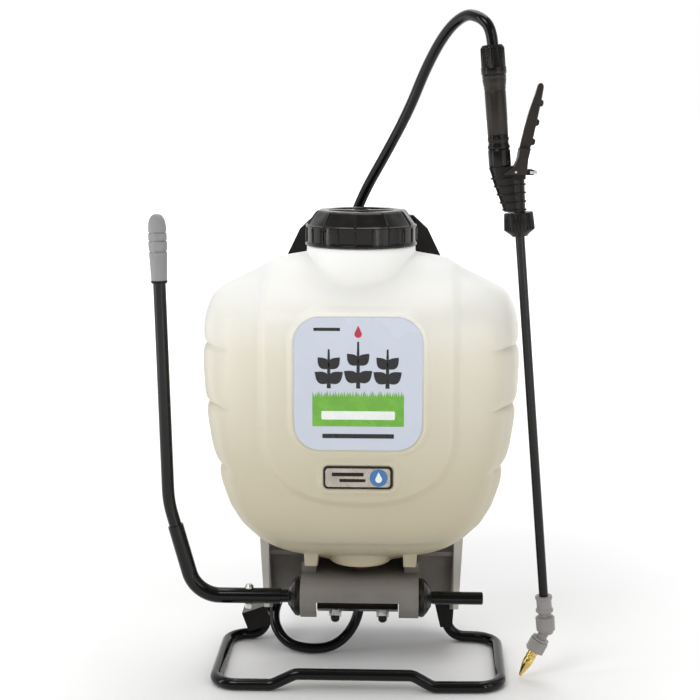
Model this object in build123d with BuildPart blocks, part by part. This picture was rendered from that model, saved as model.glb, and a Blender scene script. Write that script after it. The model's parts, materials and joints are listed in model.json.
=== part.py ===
"""Backpack sprayer: a blow-moulded tank on a tube stand, with a lever-worked piston pump inside it,
a back frame with shoulder straps, and a hose that ends in a shut-off handle, a wand and a brass nozzle.

Millimetres, +Z up, the stand rests on Z = 0. The parts are drawn about the tank's own axis, with the
label side at -Y and the wearer's back at +Y, and move together by ORIGIN when they are written, so that
the origin lies under the middle of the whole object.
"""

from build123d import *
import math
import os

os.makedirs("parts", exist_ok=True)

# ---------------------------------------------------------------- driving dimensions
ORIGIN = Location((6.3, -15.0, 0))

# Tank: height, half width, reach to the front, reach to the back
TANK_ROWS = [
    (126, 66, 24, 47),
    (133, 88, 39, 59),
    (141, 104, 57, 67),
    (151, 119, 74, 72),
    (166, 135, 85, 75),
    (186, 147, 91, 76),
    (208, 157, 94, 77),
    (233, 164, 96, 78),
    (300, 174, 97, 78),
    (360, 176, 97, 78),
    (398, 173, 96, 77),
    (418, 165, 89, 75),
    (438, 141, 62, 70),
    (452, 110, 46, 62),
    (462, 76, 34, 54),
]
TANK_WALL = 3.0
TANK_SQUARENESS = 3.1
TANK_MIDDLE = 300.0
NECK_R = 60.0
NECK_TOP = 478.0
SPOUT_R = 54.0
SPOUT_BORE = 50.0
SPOUT_TOP = 500.0
SUMP_R = 36.0
SUMP_BOTTOM = 120.5
SUMP_FLOOR = 129.0
SUMP_ROOF = 145.0

# Filler cap
CAP_R = 61.0
CAP_BORE = 54.6
CAP_BOTTOM = 478.5
CAP_SKIRT_TOP = 499.5
CAP_TOP = 516.5
CAP_RIBS = 20

# Pump: crank on the lever shaft, rod up the middle of the tank
SHAFT_Y = -40.0
SHAFT_Z = 85.0
SHAFT_R = 7.15
RING_GROOVE_X = 80.5
SHAFT_LEFT = -139.0
SHAFT_RIGHT = 138.0
CRANK_R = 32.0
CRANK_REST = 22.5
CRANK_Y = SHAFT_Y + CRANK_R * math.cos(math.radians(CRANK_REST))
CRANK_Z = SHAFT_Z + CRANK_R * math.sin(math.radians(CRANK_REST))
PUMP_Y = SHAFT_Y + CRANK_R * (1 + math.cos(math.radians(CRANK_REST))) / 2
PIN_R = 3.0
ROD_R = 4.0
BARREL_BORE = 17.5
BARREL_R = 21.0
BARREL_TOP = 208.0
HEAD_TOP = 222.0
CHAMBER_TOP = 385.0
DELIVERY_Y = 20.0
HOSE_EXIT_Z = 90.0
RUNNING = 0.05

# Base, housing and stand
BASE_TOP = 150.0
BASE_BOTTOM = 52.0
BASE_BACK = 98.0
LIP_Y = 15.0
HOUSING_R = 23.0
HOUSING_INNER = 18.0
HOUSING_HALF = 66.0
STAND_R = 6.35
CLAMP_BOLT_X = -124.5

# Lever
LEVER_R = 8.75
LEVER_BORE = 7.25
UPPER_R = 7.0
GRIP_LOW = 439.0
GRIP_HIGH = 514.0

# Wand and handle stand in the plane Y = WAND_Y
WAND_Y = -60.0
WAND_R = 5.0
WAND_LEAN = 0.0848
HANDLE_LEAN = 0.0944

HOSE_R = 6.0

# Back frame, pads and straps
FRAME_Y = 98.0
FRAME_BACK = 112.0


# ---------------------------------------------------------------- shared shapes
def save(piece, name):
    """Label a finished piece and write it to its own file."""
    solid = piece.part.moved(ORIGIN)
    solid.label = name
    export_step(solid, f"parts/{name}.step")


def oval(half_width, front, back, squareness=TANK_SQUARENESS, corners=28):
    """Flat-faced oval that reaches further to one side than to the other."""
    points = []
    for step in range(corners):
        turn = 2 * math.pi * step / corners
        across, along = math.cos(turn), math.sin(turn)
        x = math.copysign(abs(across) ** (2 / squareness), across) * half_width
        y = math.copysign(abs(along) ** (2 / squareness), along) * (back if along > 0 else front)
        points.append((x, y))
    return points


def tank_form(inset):
    """The tank's outside, or with an inset its hollow."""
    with BuildPart() as form:
        for z, half_width, front, back in TANK_ROWS:
            level = z + inset * (1 if z < TANK_MIDDLE else -1) * min(1, abs(z - TANK_MIDDLE) / 100)
            with BuildSketch(Plane.XY.offset(level)):
                with BuildLine():
                    Spline(*oval(half_width - inset, front - inset, back - inset), periodic=True)
                make_face()
        loft(ruled=True)
    return form


def disc(x, y, low, high, radius, bore=0.0):
    """Upright round piece, with a bore if one is given."""
    with BuildPart(mode=Mode.PRIVATE) as piece:
        with BuildSketch(Plane.XY.offset(low)):
            with Locations((x, y)):
                Circle(radius)
                if bore:
                    Circle(bore, mode=Mode.SUBTRACT)
        extrude(amount=high - low)
    return piece.part


def turned(axis_plane, profile, bore=0.0):
    """Round piece about a plane's Z axis, from (height, radius) pairs, with a bore if one is given."""
    side = axis_plane.x_dir.cross(axis_plane.z_dir)
    outline = [(bore, profile[0][0])]
    outline += [(radius, height) for height, radius in profile]
    outline += [(bore, profile[-1][0])]
    with BuildPart(mode=Mode.PRIVATE) as piece:
        with BuildSketch(Plane(origin=axis_plane.origin, x_dir=axis_plane.x_dir, z_dir=side)):
            with BuildLine():
                Polyline(*outline, close=True)
            make_face()
        revolve(axis=Axis(axis_plane.origin, axis_plane.z_dir))
    return piece.part


def bent_tube(points, radii, outer, bore=0.0):
    """Tube along straight runs joined by arcs."""
    with BuildPart(mode=Mode.PRIVATE) as tube:
        with BuildLine() as path:
            FilletPolyline(*points, radius=radii)
        with BuildSketch(Plane(origin=path.line @ 0, z_dir=path.line % 0)):
            Circle(outer)
            if bore:
                Circle(bore, mode=Mode.SUBTRACT)
        sweep()
    return tube.part


def rod_along(start, end, radius):
    """Straight round bar between two points."""
    run = Vector(*end) - Vector(*start)
    with BuildPart(mode=Mode.PRIVATE) as bar:
        with BuildSketch(Plane(origin=start, z_dir=run)):
            Circle(radius)
        extrude(amount=run.length)
    return bar.part


def slab(low, high):
    """Plain block between two corners."""
    size = [high[i] - low[i] for i in range(3)]
    middle = [(high[i] + low[i]) / 2 for i in range(3)]
    return Pos(*middle) * Box(*size, mode=Mode.PRIVATE)


def across_x(outline, low, high):
    """Prism between two X positions, from (y, z) corners."""
    with BuildPart(mode=Mode.PRIVATE) as prism:
        with BuildSketch(Plane.YZ.offset(low)):
            with BuildLine():
                Polyline(*outline, close=True)
            make_face()
        extrude(amount=high - low)
    return prism.part


def along_y(outline, low, high):
    """Prism between two Y positions, from (x, z) corners."""
    with BuildPart(mode=Mode.PRIVATE) as prism:
        with BuildSketch(Plane.XZ.offset(-low)):
            with BuildLine():
                Polyline(*outline, close=True)
            make_face()
        extrude(amount=-(high - low))
    return prism.part


def arc_points(centre, radius, start, end, count):
    """Points on an arc in a plane, from one angle to another in degrees."""
    turns = [math.radians(start + (end - start) * step / count) for step in range(count + 1)]
    return [(centre[0] + radius * math.cos(t), centre[1] + radius * math.sin(t)) for t in turns]


def hexagon(plane, across_flats, low, high, bore=0.0):
    """Hexagonal nut or bolt head along a plane's Z axis."""
    with BuildPart(mode=Mode.PRIVATE) as nut:
        with BuildSketch(plane.offset(low)):
            RegularPolygon(across_flats / 2, 6, major_radius=False)
            if bore:
                Circle(bore, mode=Mode.SUBTRACT)
        extrude(amount=high - low)
    return nut.part


# ---------------------------------------------------------------- tank
def make_tank():
    outside = tank_form(0).part
    hollow = tank_form(TANK_WALL).part
    with BuildPart() as tank_shell:
        add(outside)
        add(disc(0, 0, 436, NECK_TOP, NECK_R))
        add(disc(0, PUMP_Y, SUMP_BOTTOM, SUMP_ROOF, SUMP_R))
        for x in (-54.5, 56.0):
            add(slab((x - 7.5, -41, 120), (x + 7.5, -8, 138)))
        add(slab((-73, -98.2, 263), (73, -88, 416)))
        add(slab((-41, -97.4, 222), (41, -88, 254)))
        add(hollow, mode=Mode.SUBTRACT)
        add(disc(0, PUMP_Y, SUMP_FLOOR, SUMP_ROOF, SUMP_R - 4), mode=Mode.SUBTRACT)
        add(disc(0, 0, NECK_TOP, SPOUT_TOP, SPOUT_R))
        add(disc(0, 0, 430, SPOUT_TOP, SPOUT_BORE), mode=Mode.SUBTRACT)
        add(disc(0, PUMP_Y, SUMP_BOTTOM + 2, SUMP_FLOOR, SUMP_R - 4))
        add(disc(0, PUMP_Y, 110, 140, 10), mode=Mode.SUBTRACT)
        add(disc(0, DELIVERY_Y, 110, 140, 6), mode=Mode.SUBTRACT)
        for x in (-54.5, 56.0):
            add(disc(x, -16, 110, 130, 2), mode=Mode.SUBTRACT)
    save(tank_shell, "tank_shell")
    return outside


def make_labels():
    with BuildPart() as front_label:
        with BuildSketch(Plane.XZ.offset(98.2)):
            with Locations((0, 339.5)):
                RectangleRounded(136, 143, 28)
        extrude(amount=0.8)
    save(front_label, "front_label")

    with BuildPart() as badge_plate:
        with BuildSketch(Plane.XZ.offset(97.4)):
            with Locations((0, 238)):
                RectangleRounded(74, 25, 5)
        extrude(amount=1.6)
    save(badge_plate, "badge_plate")


def make_cap():
    with BuildPart() as filler_cap:
        with BuildSketch(Plane.XZ):
            with BuildLine():
                Polyline(
                    (0, 504.0),
                    (CAP_BORE, 504.0),
                    (CAP_BORE, CAP_BOTTOM),
                    (CAP_R - 1, CAP_BOTTOM),
                    (CAP_R, CAP_BOTTOM + 2),
                    (CAP_R, CAP_SKIRT_TOP),
                    (50, CAP_TOP - 3),
                    (46, CAP_TOP),
                    (36, CAP_TOP),
                    (34, CAP_TOP - 6),
                    (0, CAP_TOP - 6),
                    close=True,
                )
            make_face()
        revolve(axis=Axis.Z)
        with BuildSketch(Plane.XY.offset(CAP_BOTTOM + 2)):
            with PolarLocations(CAP_R, CAP_RIBS):
                Rectangle(3.0, 3.0)
        extrude(amount=CAP_SKIRT_TOP - CAP_BOTTOM - 3)
        with BuildSketch(Plane.XY.offset(CAP_TOP - 7)):
            Rectangle(66, 12)
            Circle(12, mode=Mode.ADD)
        extrude(amount=7)
        add(disc(0, 0, 500, 520, 8), mode=Mode.SUBTRACT)
        add(disc(0, 0, 503, 505.2, 10), mode=Mode.SUBTRACT)
    save(filler_cap, "filler_cap")

    with BuildPart() as cap_vent:
        add(turned(Plane((0, 0, 504)), [(0, 10), (1.2, 10), (1.2, 7.95), (9, 7.95), (11, 6)]))
        add(disc(0, 0, 508, 516, 1.5), mode=Mode.SUBTRACT)
    save(cap_vent, "cap_vent")


def make_neck_pieces():
    with BuildPart() as cap_gasket:
        add(disc(0, 0, 502, 504, SPOUT_R - 0.2, 46))
    save(cap_gasket, "cap_gasket")

    with BuildPart() as strainer_basket:
        add(disc(0, 0, SPOUT_TOP, 502, SPOUT_R - 0.5, 44))
        add(turned(Plane((0, 0, 0)), [(440, 38), (SPOUT_TOP, 46)]))
        add(turned(Plane((0, 0, 0)), [(442, 36.5), (503, 44.5)]), mode=Mode.SUBTRACT)
        with BuildSketch(Plane.XY.offset(439)):
            with GridLocations(12, 12, 5, 5):
                Circle(4)
        extrude(amount=4, mode=Mode.SUBTRACT)
    save(strainer_basket, "strainer_basket")


# ---------------------------------------------------------------- pump inside the tank
def make_pump():
    inlet_x = -31.0
    with BuildPart() as pump_barrel:
        add(disc(0, PUMP_Y, SUMP_FLOOR, BARREL_TOP, BARREL_R))
        add(disc(0, PUMP_Y, SUMP_FLOOR + 5, BARREL_TOP, BARREL_BORE), mode=Mode.SUBTRACT)
        add(disc(0, PUMP_Y, SUMP_FLOOR, SUMP_FLOOR + 5, 10), mode=Mode.SUBTRACT)
    save(pump_barrel, "pump_barrel")

    with BuildPart() as inlet_tube:
        add(disc(inlet_x, PUMP_Y, SUMP_FLOOR, BARREL_TOP, 8, 5.5))
        add(disc(inlet_x, PUMP_Y, 148, 152, 8, 3))
    save(inlet_tube, "inlet_tube")

    with BuildPart() as inlet_ball:
        with Locations((inlet_x, PUMP_Y, 152 + math.sqrt(4.5**2 - 3**2) + RUNNING)):
            Sphere(4.5)
    save(inlet_ball, "inlet_ball")

    with BuildPart() as pickup_screen:
        add(disc(inlet_x, PUMP_Y, SUMP_FLOOR, SUMP_FLOOR + 14, 5.45, 4.2))
        for height in (131, 135, 139):
            add(slab((inlet_x - 9, PUMP_Y - 1, height), (inlet_x + 9, PUMP_Y + 1, height + 2)), mode=Mode.SUBTRACT)
    save(pickup_screen, "pickup_screen")

    with BuildPart() as valve_head:
        with BuildSketch(Plane.XY.offset(BARREL_TOP)):
            with Locations((0, PUMP_Y)):
                Circle(28)
            with Locations((inlet_x, PUMP_Y)):
                Circle(10)
            with Locations((0, DELIVERY_Y)):
                Circle(10)
        extrude(amount=HEAD_TOP - BARREL_TOP)
        add(disc(inlet_x, PUMP_Y, BARREL_TOP, 217, 5.5), mode=Mode.SUBTRACT)
        add(slab((inlet_x, PUMP_Y - 3, 211), (-8, PUMP_Y + 3, 217)), mode=Mode.SUBTRACT)
        add(disc(-9, PUMP_Y, BARREL_TOP, 213, 3), mode=Mode.SUBTRACT)
        add(disc(8, PUMP_Y, BARREL_TOP, 214, 3), mode=Mode.SUBTRACT)
        add(disc(8, PUMP_Y, 214, HEAD_TOP, 5), mode=Mode.SUBTRACT)
        add(disc(0, DELIVERY_Y, BARREL_TOP, 217, 4), mode=Mode.SUBTRACT)
        add(slab((-3, 6, 212), (3, DELIVERY_Y, 217)), mode=Mode.SUBTRACT)
        add(disc(0, 6, 212, HEAD_TOP, 3), mode=Mode.SUBTRACT)
    save(valve_head, "valve_head")

    with BuildPart() as outlet_ball:
        with Locations((8, PUMP_Y, 214 + math.sqrt(4.5**2 - 3**2) + RUNNING)):
            Sphere(4.5)
    save(outlet_ball, "outlet_ball")

    with BuildPart() as pressure_chamber:
        add(turned(Plane((0, PUMP_Y, 0)), [(HEAD_TOP, 27), (CHAMBER_TOP - 12, 27), (CHAMBER_TOP - 4, 20), (CHAMBER_TOP, 8)]))
        add(turned(Plane((0, PUMP_Y, 0)), [(HEAD_TOP, 24), (CHAMBER_TOP - 14, 24), (CHAMBER_TOP - 6, 17)]), mode=Mode.SUBTRACT)
    save(pressure_chamber, "pressure_chamber")

    with BuildPart() as delivery_tube:
        add(disc(0, DELIVERY_Y, SUMP_FLOOR, BARREL_TOP, 7, 4))
    save(delivery_tube, "delivery_tube")

    with BuildPart() as outlet_fitting:
        fitting = [(0, 3.6), (22, 3.6), (22, 5), (28.5, 5), (28.5, 8.5), (30.5, 8.5), (30.5, 5.95), (39, 5.95)]
        add(turned(Plane((0, DELIVERY_Y, HOSE_EXIT_Z)), fitting, 2.4))
    save(outlet_fitting, "outlet_fitting")

    with BuildPart() as outlet_nut:
        add(hexagon(Plane((0, DELIVERY_Y, 0)), 18, HOSE_EXIT_Z, 112, 3.6))
    save(outlet_nut, "outlet_nut")

    with BuildPart() as rod_gland:
        gland = [(109.5, 11), (SUMP_BOTTOM, 11), (SUMP_BOTTOM, 9.95), (138, 9.95)]
        add(turned(Plane((0, PUMP_Y, 0)), gland, ROD_R + RUNNING))
    save(rod_gland, "rod_gland")

    slide_room = CRANK_R * (1 - math.cos(math.radians(CRANK_REST))) / 2 + PIN_R + 0.3
    with BuildPart() as piston_rod:
        add(disc(0, PUMP_Y, CRANK_Z, 197, ROD_R))
        add(slab((-4, PUMP_Y - slide_room - 3, CRANK_Z - 6), (4, PUMP_Y + slide_room + 3, CRANK_Z + 6)))
        slot = (-5, PUMP_Y - slide_room, CRANK_Z - PIN_R - 0.35)
        add(slab(slot, (5, PUMP_Y + slide_room, CRANK_Z + PIN_R + 0.35)), mode=Mode.SUBTRACT)
    save(piston_rod, "piston_rod")

    with BuildPart() as piston_cup:
        cup = [(184, 13), (186, BARREL_BORE - 0.06), (196, BARREL_BORE - 0.06), (198, 15)]
        add(turned(Plane((0, PUMP_Y, 0)), cup))
        add(disc(0, PUMP_Y, 183, 197, ROD_R), mode=Mode.SUBTRACT)
    save(piston_cup, "piston_cup")


# ---------------------------------------------------------------- lever shaft, crank and lever
NUT_TURN = 242.0
YOKE_BOLTS = (-27.0, 26.0)


def bolt_plane(x):
    """Plane through the shaft's axis whose Z points along a yoke bolt, towards its nut."""
    turn = math.radians(NUT_TURN)
    return Plane(origin=(x, SHAFT_Y, SHAFT_Z), x_dir=(1, 0, 0), z_dir=(0, math.cos(turn), math.sin(turn)))


def make_shaft():
    clamp = rod_along((CLAMP_BOLT_X, SHAFT_Y, 60), (CLAMP_BOLT_X, SHAFT_Y, 110), 2.6)
    along_shaft = Plane(origin=(SHAFT_LEFT, SHAFT_Y, SHAFT_Z), x_dir=(0, 1, 0), z_dir=(1, 0, 0))
    length = SHAFT_RIGHT - SHAFT_LEFT
    with BuildPart() as pump_shaft:
        add(turned(along_shaft, [(0, SHAFT_R - 1), (1, SHAFT_R), (length - 1, SHAFT_R), (length, SHAFT_R - 1)]))
        # Groove for the ring that keeps the right bushing in place.
        add(turned(along_shaft, [(RING_GROOVE_X - SHAFT_LEFT, 9), (RING_GROOVE_X + 1.2 - SHAFT_LEFT, 9)], 6.6), mode=Mode.SUBTRACT)
        add(clamp, mode=Mode.SUBTRACT)
        for x in YOKE_BOLTS:
            add(hole_along(x, 3.0, 20), mode=Mode.SUBTRACT)
    save(pump_shaft, "pump_shaft")

    with BuildPart() as shaft_yoke:
        add(rod_along((-47.2, SHAFT_Y, SHAFT_Z), (43.2, SHAFT_Y, SHAFT_Z), 14))
        with BuildSketch(bolt_plane(0).offset(6)):
            with Locations((-2, 0)):
                Rectangle(90.4, 17)
        extrude(amount=9)
        for side in (-1, 1):
            near, far = side * 5.0, side * 11.0
            hub = rod_along((near, SHAFT_Y, SHAFT_Z), (far, SHAFT_Y, SHAFT_Z), 12)
            end = rod_along((near, CRANK_Y, CRANK_Z), (far, CRANK_Y, CRANK_Z), 6.2)
            add(hub)
            add(end)
            arm = Plane(origin=(near, SHAFT_Y, SHAFT_Z), x_dir=(0, CRANK_Y - SHAFT_Y, CRANK_Z - SHAFT_Z), z_dir=(side, 0, 0))
            with BuildSketch(arm):
                with Locations((CRANK_R / 2, 0)):
                    Rectangle(CRANK_R, 11)
            extrude(amount=6)
        add(rod_along((-60, SHAFT_Y, SHAFT_Z), (60, SHAFT_Y, SHAFT_Z), SHAFT_R), mode=Mode.SUBTRACT)
        add(rod_along((-20, CRANK_Y, CRANK_Z), (20, CRANK_Y, CRANK_Z), PIN_R), mode=Mode.SUBTRACT)
        for x in YOKE_BOLTS:
            add(hole_along(x, 3.0, 20), mode=Mode.SUBTRACT)
    save(shaft_yoke, "shaft_yoke")

    with BuildPart() as crank_pin:
        add(rod_along((-13, CRANK_Y, CRANK_Z), (13, CRANK_Y, CRANK_Z), PIN_R))
    save(crank_pin, "crank_pin")

    clamp_plane = Plane((CLAMP_BOLT_X, SHAFT_Y, 0))
    with BuildPart() as lever_bolts:
        for x in YOKE_BOLTS:
            add(hole_along(x, 3.0, 14, 27))
            add(hexagon(bolt_plane(x), 10, -17.5, -14))
        add(rod_along((CLAMP_BOLT_X, SHAFT_Y, 70), (CLAMP_BOLT_X, SHAFT_Y, 94), 2.5))
        add(turned(clamp_plane, [(94, 5), (96, 5), (98.5, 3)]))
    save(lever_bolts, "lever_bolts")

    with BuildPart() as lever_nuts:
        for x in YOKE_BOLTS:
            add(hexagon(bolt_plane(x), 12, 15, 22, 3.0))
        add(hexagon(clamp_plane, 9, 71, 76, 2.5))
    save(lever_nuts, "lever_nuts")


def hole_along(x, radius, back, front=20.0):
    """Round bar along a yoke bolt's axis."""
    with BuildPart(mode=Mode.PRIVATE) as bar:
        with BuildSketch(bolt_plane(x).offset(-back)):
            Circle(radius)
        extrude(amount=back + front)
    return bar.part


def make_bushings():
    for name, side in (("shaft_bushing_left", -1), ("shaft_bushing_right", 1)):
        axis = Plane(origin=(0, SHAFT_Y, SHAFT_Z), x_dir=(0, 1, 0), z_dir=(side, 0, 0))
        shape = [(58, 12), (HOUSING_HALF, 12), (HOUSING_HALF, 21), (69, 22), (72, 21), (76, 16), (79, 11), (80, 10)]
        with BuildPart() as bushing:
            add(turned(axis, shape, SHAFT_R + RUNNING))
        save(bushing, name)


def make_lever():
    upright = Vector(-21.5, 0, 80).normalized()
    elbow = Vector(-184.6, SHAFT_Y, SHAFT_Z)
    tube_top = elbow + upright * 84
    clamp = rod_along((CLAMP_BOLT_X, SHAFT_Y, 60), (CLAMP_BOLT_X, SHAFT_Y, 110), 2.6)
    with BuildPart() as lever_lower_tube:
        add(bent_tube([(-88.6, SHAFT_Y, SHAFT_Z), elbow, tube_top], [36], LEVER_R, LEVER_BORE))
        add(clamp, mode=Mode.SUBTRACT)
    save(lever_lower_tube, "lever_lower_tube")

    upper_start = elbow + upright * 60
    bend = elbow + upright * 112
    top = Vector(-219.9, SHAFT_Y, 505)
    with BuildPart() as lever_upper_tube:
        add(bent_tube([upper_start, bend, top], [120], UPPER_R, UPPER_R - 1.5))
    save(lever_upper_tube, "lever_upper_tube")

    up = (top - bend).normalized()
    grip_foot = top - up * (505 - GRIP_LOW)
    grip_plane = Plane(origin=grip_foot, x_dir=Vector(0, 1, 0), z_dir=up)
    with BuildPart() as lever_grip:
        grip = [(0, 8.0), (2, 8.6), (30, 9.8), (44, 10.3), (60, 9.9), (69, 8.6), (73, 6.2), (75, 3.0)]
        add(turned(grip_plane, grip))
        add(turned(grip_plane, [(-1, UPPER_R), (GRIP_HIGH - GRIP_LOW - 9, UPPER_R)]), mode=Mode.SUBTRACT)
    save(lever_grip, "lever_grip")


# ---------------------------------------------------------------- base and stand
STAND_ROUTE = [
    (-105, 60, 74),
    (-118, 52, STAND_R),
    (-158, 47, STAND_R),
    (-158, -105, STAND_R),
    (-94, -105, STAND_R),
    (-68, -105, 19),
    (60, -105, 19),
    (82, -105, STAND_R),
    (156, -102, STAND_R),
    (159, 47, STAND_R),
    (102, 52, STAND_R),
    (98, 60, 74),
]
STAND_RADII = [17, 26, 26, 18, 18, 18, 18, 26, 26, 20]


def stand_solid():
    return bent_tube(STAND_ROUTE, STAND_RADII, STAND_R)


def make_base(tank_outside):
    stand = stand_solid()
    outline = [(-118, BASE_TOP), (118, BASE_TOP), (113, BASE_BOTTOM), (-113, BASE_BOTTOM)]
    inner = [(-114, BASE_TOP + 1), (114, BASE_TOP + 1), (109, BASE_BOTTOM - 1), (-109, BASE_BOTTOM - 1)]
    window = [(-108, BASE_TOP + 1), (108, BASE_TOP + 1), (103, BASE_BOTTOM - 1), (-103, BASE_BOTTOM - 1)]
    centre = (SHAFT_Y, SHAFT_Z)
    shell = arc_points(centre, HOUSING_R, 90, 250, 16) + arc_points(centre, HOUSING_INNER, 250, 90, 16)
    opening = [centre] + arc_points(centre, HOUSING_R + 4, 179, 252, 8)
    with BuildPart() as base_cradle:
        add(along_y(outline, LIP_Y, BASE_BACK))
        add(along_y(inner, LIP_Y + 4, BASE_BACK - 4), mode=Mode.SUBTRACT)
        add(along_y(window, LIP_Y - 1, LIP_Y + 5), mode=Mode.SUBTRACT)
        for side in (-1, 1):
            near, far = sorted((side * 64.0, side * 111.0))
            panel = [(near, 118), (far, 118), (far, 64), (near, 64)]
            add(along_y(panel, 30, 33))
            boss = sorted((side * 93.0, side * 113.0))
            add(slab((boss[0], 50, 62), (boss[1], 72, 79)))
            wall = sorted((side * 61.0, side * HOUSING_HALF))
            add(across_x([(SHAFT_Y, 108), (33, 108), (33, 64), (SHAFT_Y, 64)], wall[0], wall[1]))
        add(across_x(shell, -HOUSING_HALF, HOUSING_HALF))
        add(slab((-HOUSING_HALF, SHAFT_Y, 104), (HOUSING_HALF, 33, 108)))
        add(slab((-112, 19, 115), (112, 94, 120)))
        add(slab((-HOUSING_HALF, -24, 106), (-50, 33, 120)))
        add(slab((50, -24, 106), (HOUSING_HALF, 33, 120)))
        add(tank_outside, mode=Mode.SUBTRACT)
        add(across_x(opening, -48, 44), mode=Mode.SUBTRACT)
        add(rod_along((-90, SHAFT_Y, SHAFT_Z), (90, SHAFT_Y, SHAFT_Z), 12), mode=Mode.SUBTRACT)
        add(disc(0, PUMP_Y, 100, 112, 5.5), mode=Mode.SUBTRACT)
        add(disc(0, PUMP_Y, 108, 130, SUMP_R + 1), mode=Mode.SUBTRACT)
        add(disc(0, DELIVERY_Y, 100, 130, 10.6), mode=Mode.SUBTRACT)
        add(slab((-86, 62, 110), (-30, 94, 125)), mode=Mode.SUBTRACT)
        for x in (-54.5, 56.0):
            add(disc(x, -16, 100, 106, 5), mode=Mode.SUBTRACT)
            add(disc(x, -16, 100, 125, 2), mode=Mode.SUBTRACT)
        add(stand, mode=Mode.SUBTRACT)
    save(base_cradle, "base_cradle")

    with BuildPart() as base_screws:
        for x in (-54.5, 56.0):
            add(disc(x, -16, 103, 106, 4.5))
            add(disc(x, -16, 106, 130, 2))
    save(base_screws, "base_screws")


def make_stand():
    stand = stand_solid()
    with BuildPart() as stand_tube:
        add(stand)
    save(stand_tube, "stand_tube")

    with BuildPart() as strap_clips:
        with BuildSketch(Plane(origin=(-124, 38, 29), x_dir=(0.94, 0, 0.34), z_dir=(0, 1, 0))):
            Rectangle(30, 24)
        extrude(amount=28)
        with BuildSketch(Plane(origin=(98, 42, 0), z_dir=(0, 1, 0), x_dir=(1, 0, 0))):
            with BuildLine():
                Polyline((-12, -50), (11, -50), (9, -20), (-5, -20), close=True)
            make_face()
        extrude(amount=24)
        add(stand, mode=Mode.SUBTRACT)
    save(strap_clips, "strap_clips")


# ---------------------------------------------------------------- back frame, pads and straps
def make_back():
    edge = [(-58, 503), (58, 503), (75, 487), (93, 450), (98, 400), (98, 155), (90, 62), (-90, 62), (-98, 155), (-98, 400), (-93, 450), (-75, 487)]
    with BuildPart() as back_frame:
        add(along_y(edge, FRAME_Y, FRAME_BACK))
        for low, high, half in ((70, 150, 80), (158, 250, 88), (258, 350, 88), (358, 440, 86)):
            for start in range(-2, 2):
                width = half / 2
                add(slab((start * width + 2, FRAME_Y - 1, low), (start * width + width - 2, FRAME_BACK - 4, high)), mode=Mode.SUBTRACT)
        for start in range(-2, 2):
            width = 31
            add(slab((start * width + 2, FRAME_Y - 1, 492), (start * width + width - 2, FRAME_BACK - 4, 499)), mode=Mode.SUBTRACT)
        for x in (-83, 83):
            add(slab((x - 10, FRAME_BACK, 104), (x + 10, 122, 114)))
        with BuildSketch(Plane.XZ.offset(-(FRAME_BACK + 1))):
            with Locations((0, 467)):
                SlotOverall(100, 28)
        extrude(amount=FRAME_BACK - FRAME_Y + 2, mode=Mode.SUBTRACT)
    save(back_frame, "back_frame")

    with BuildPart() as lumbar_pad:
        with BuildSketch(Plane.XZ.offset(-FRAME_BACK)):
            with Locations((0, 190)):
                RectangleRounded(96, 96, 20)
        extrude(amount=-22)
    save(lumbar_pad, "lumbar_pad")

    with BuildPart() as web_buckles:
        for middle in (-60, 60):
            add(slab((middle - 19, 114.5, 262), (middle + 19, 124, 284)))
            add(slab((middle - 14, 114, 266), (middle + 14, 125, 271)), mode=Mode.SUBTRACT)
            add(slab((middle - 14, 114, 275), (middle + 14, 125, 280)), mode=Mode.SUBTRACT)
    save(web_buckles, "web_buckles")

    for side, word in ((-1, "left"), (1, "right")):
        low, high = sorted((side * 32.0, side * 88.0))
        with BuildPart() as shoulder_pad:
            with BuildSketch(Plane.YZ.offset(low)):
                with BuildLine():
                    ThreePointArc((FRAME_BACK, 440), (141, 362), (126, 285))
                    Line((126, 285), (115, 288))
                    ThreePointArc((115, 288), (129, 362), (FRAME_BACK, 424))
                    Line((FRAME_BACK, 424), (FRAME_BACK, 440))
                make_face()
            extrude(amount=high - low)
        save(shoulder_pad, f"shoulder_pad_{word}")

        band = [(47.5, 262), (72.5, 262), (99, 114), (74, 114)]
        with BuildPart() as shoulder_web:
            add(along_y([(side * x, z) for x, z in band], 118, 120))
        save(shoulder_web, f"shoulder_web_{word}")


# ---------------------------------------------------------------- hose
HOSE_ROUTE = [
    (0, DELIVERY_Y, HOSE_EXIT_Z),
    (0, DELIVERY_Y, 60),
    (-8, 17, 28),
    (-30, 8, 7.4),
    (-60, 1, 6.2),
    (-88, 5, 12),
    (-104, 21, 33),
    (-99, 36, 56),
    (-80, 52, 78),
    (-64, 70, 102),
    (-50, 86, 142),
    (-46, 88, 200),
    (-46, 87, 270),
    (-42, 88, 340),
    (-34, 88, 405),
    (-23, 89, 466),
    (-3, 86, 524),
    (26, 72, 575),
    (52, 52, 624),
    (71, 26, 672),
    (91, -6, 708),
    (110, -33, 724.5),
    (125, -53, 720.5),
    (136.4, WAND_Y, 708.4),
    (138, WAND_Y, 691.4),
]


def corner_radii(points):
    """Radius at each corner: 0.45 of its shorter run over the tangent of half its turn."""
    radii = []
    for before, corner, after in zip(points, points[1:], points[2:]):
        into = Vector(*corner) - Vector(*before)
        out = Vector(*after) - Vector(*corner)
        half_turn = math.radians(into.get_angle(out)) / 2
        radii.append(0.45 * min(into.length, out.length) / math.tan(half_turn))
    return radii


def make_hose():
    radii = corner_radii(HOSE_ROUTE)
    print("hose radii", [round(r, 1) for r in radii])
    with BuildPart() as hose:
        with BuildLine() as path:
            FilletPolyline(*HOSE_ROUTE, radius=radii)
        with BuildSketch(Plane(origin=path.line @ 0, z_dir=path.line % 0)):
            Circle(HOSE_R)
        sweep()
    length = sum(edge.length for edge in path.line.edges())
    print("hose length", round(length), "volume share", round(hose.part.volume / (math.pi * HOSE_R**2 * length), 4))
    save(hose, "hose")


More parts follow.
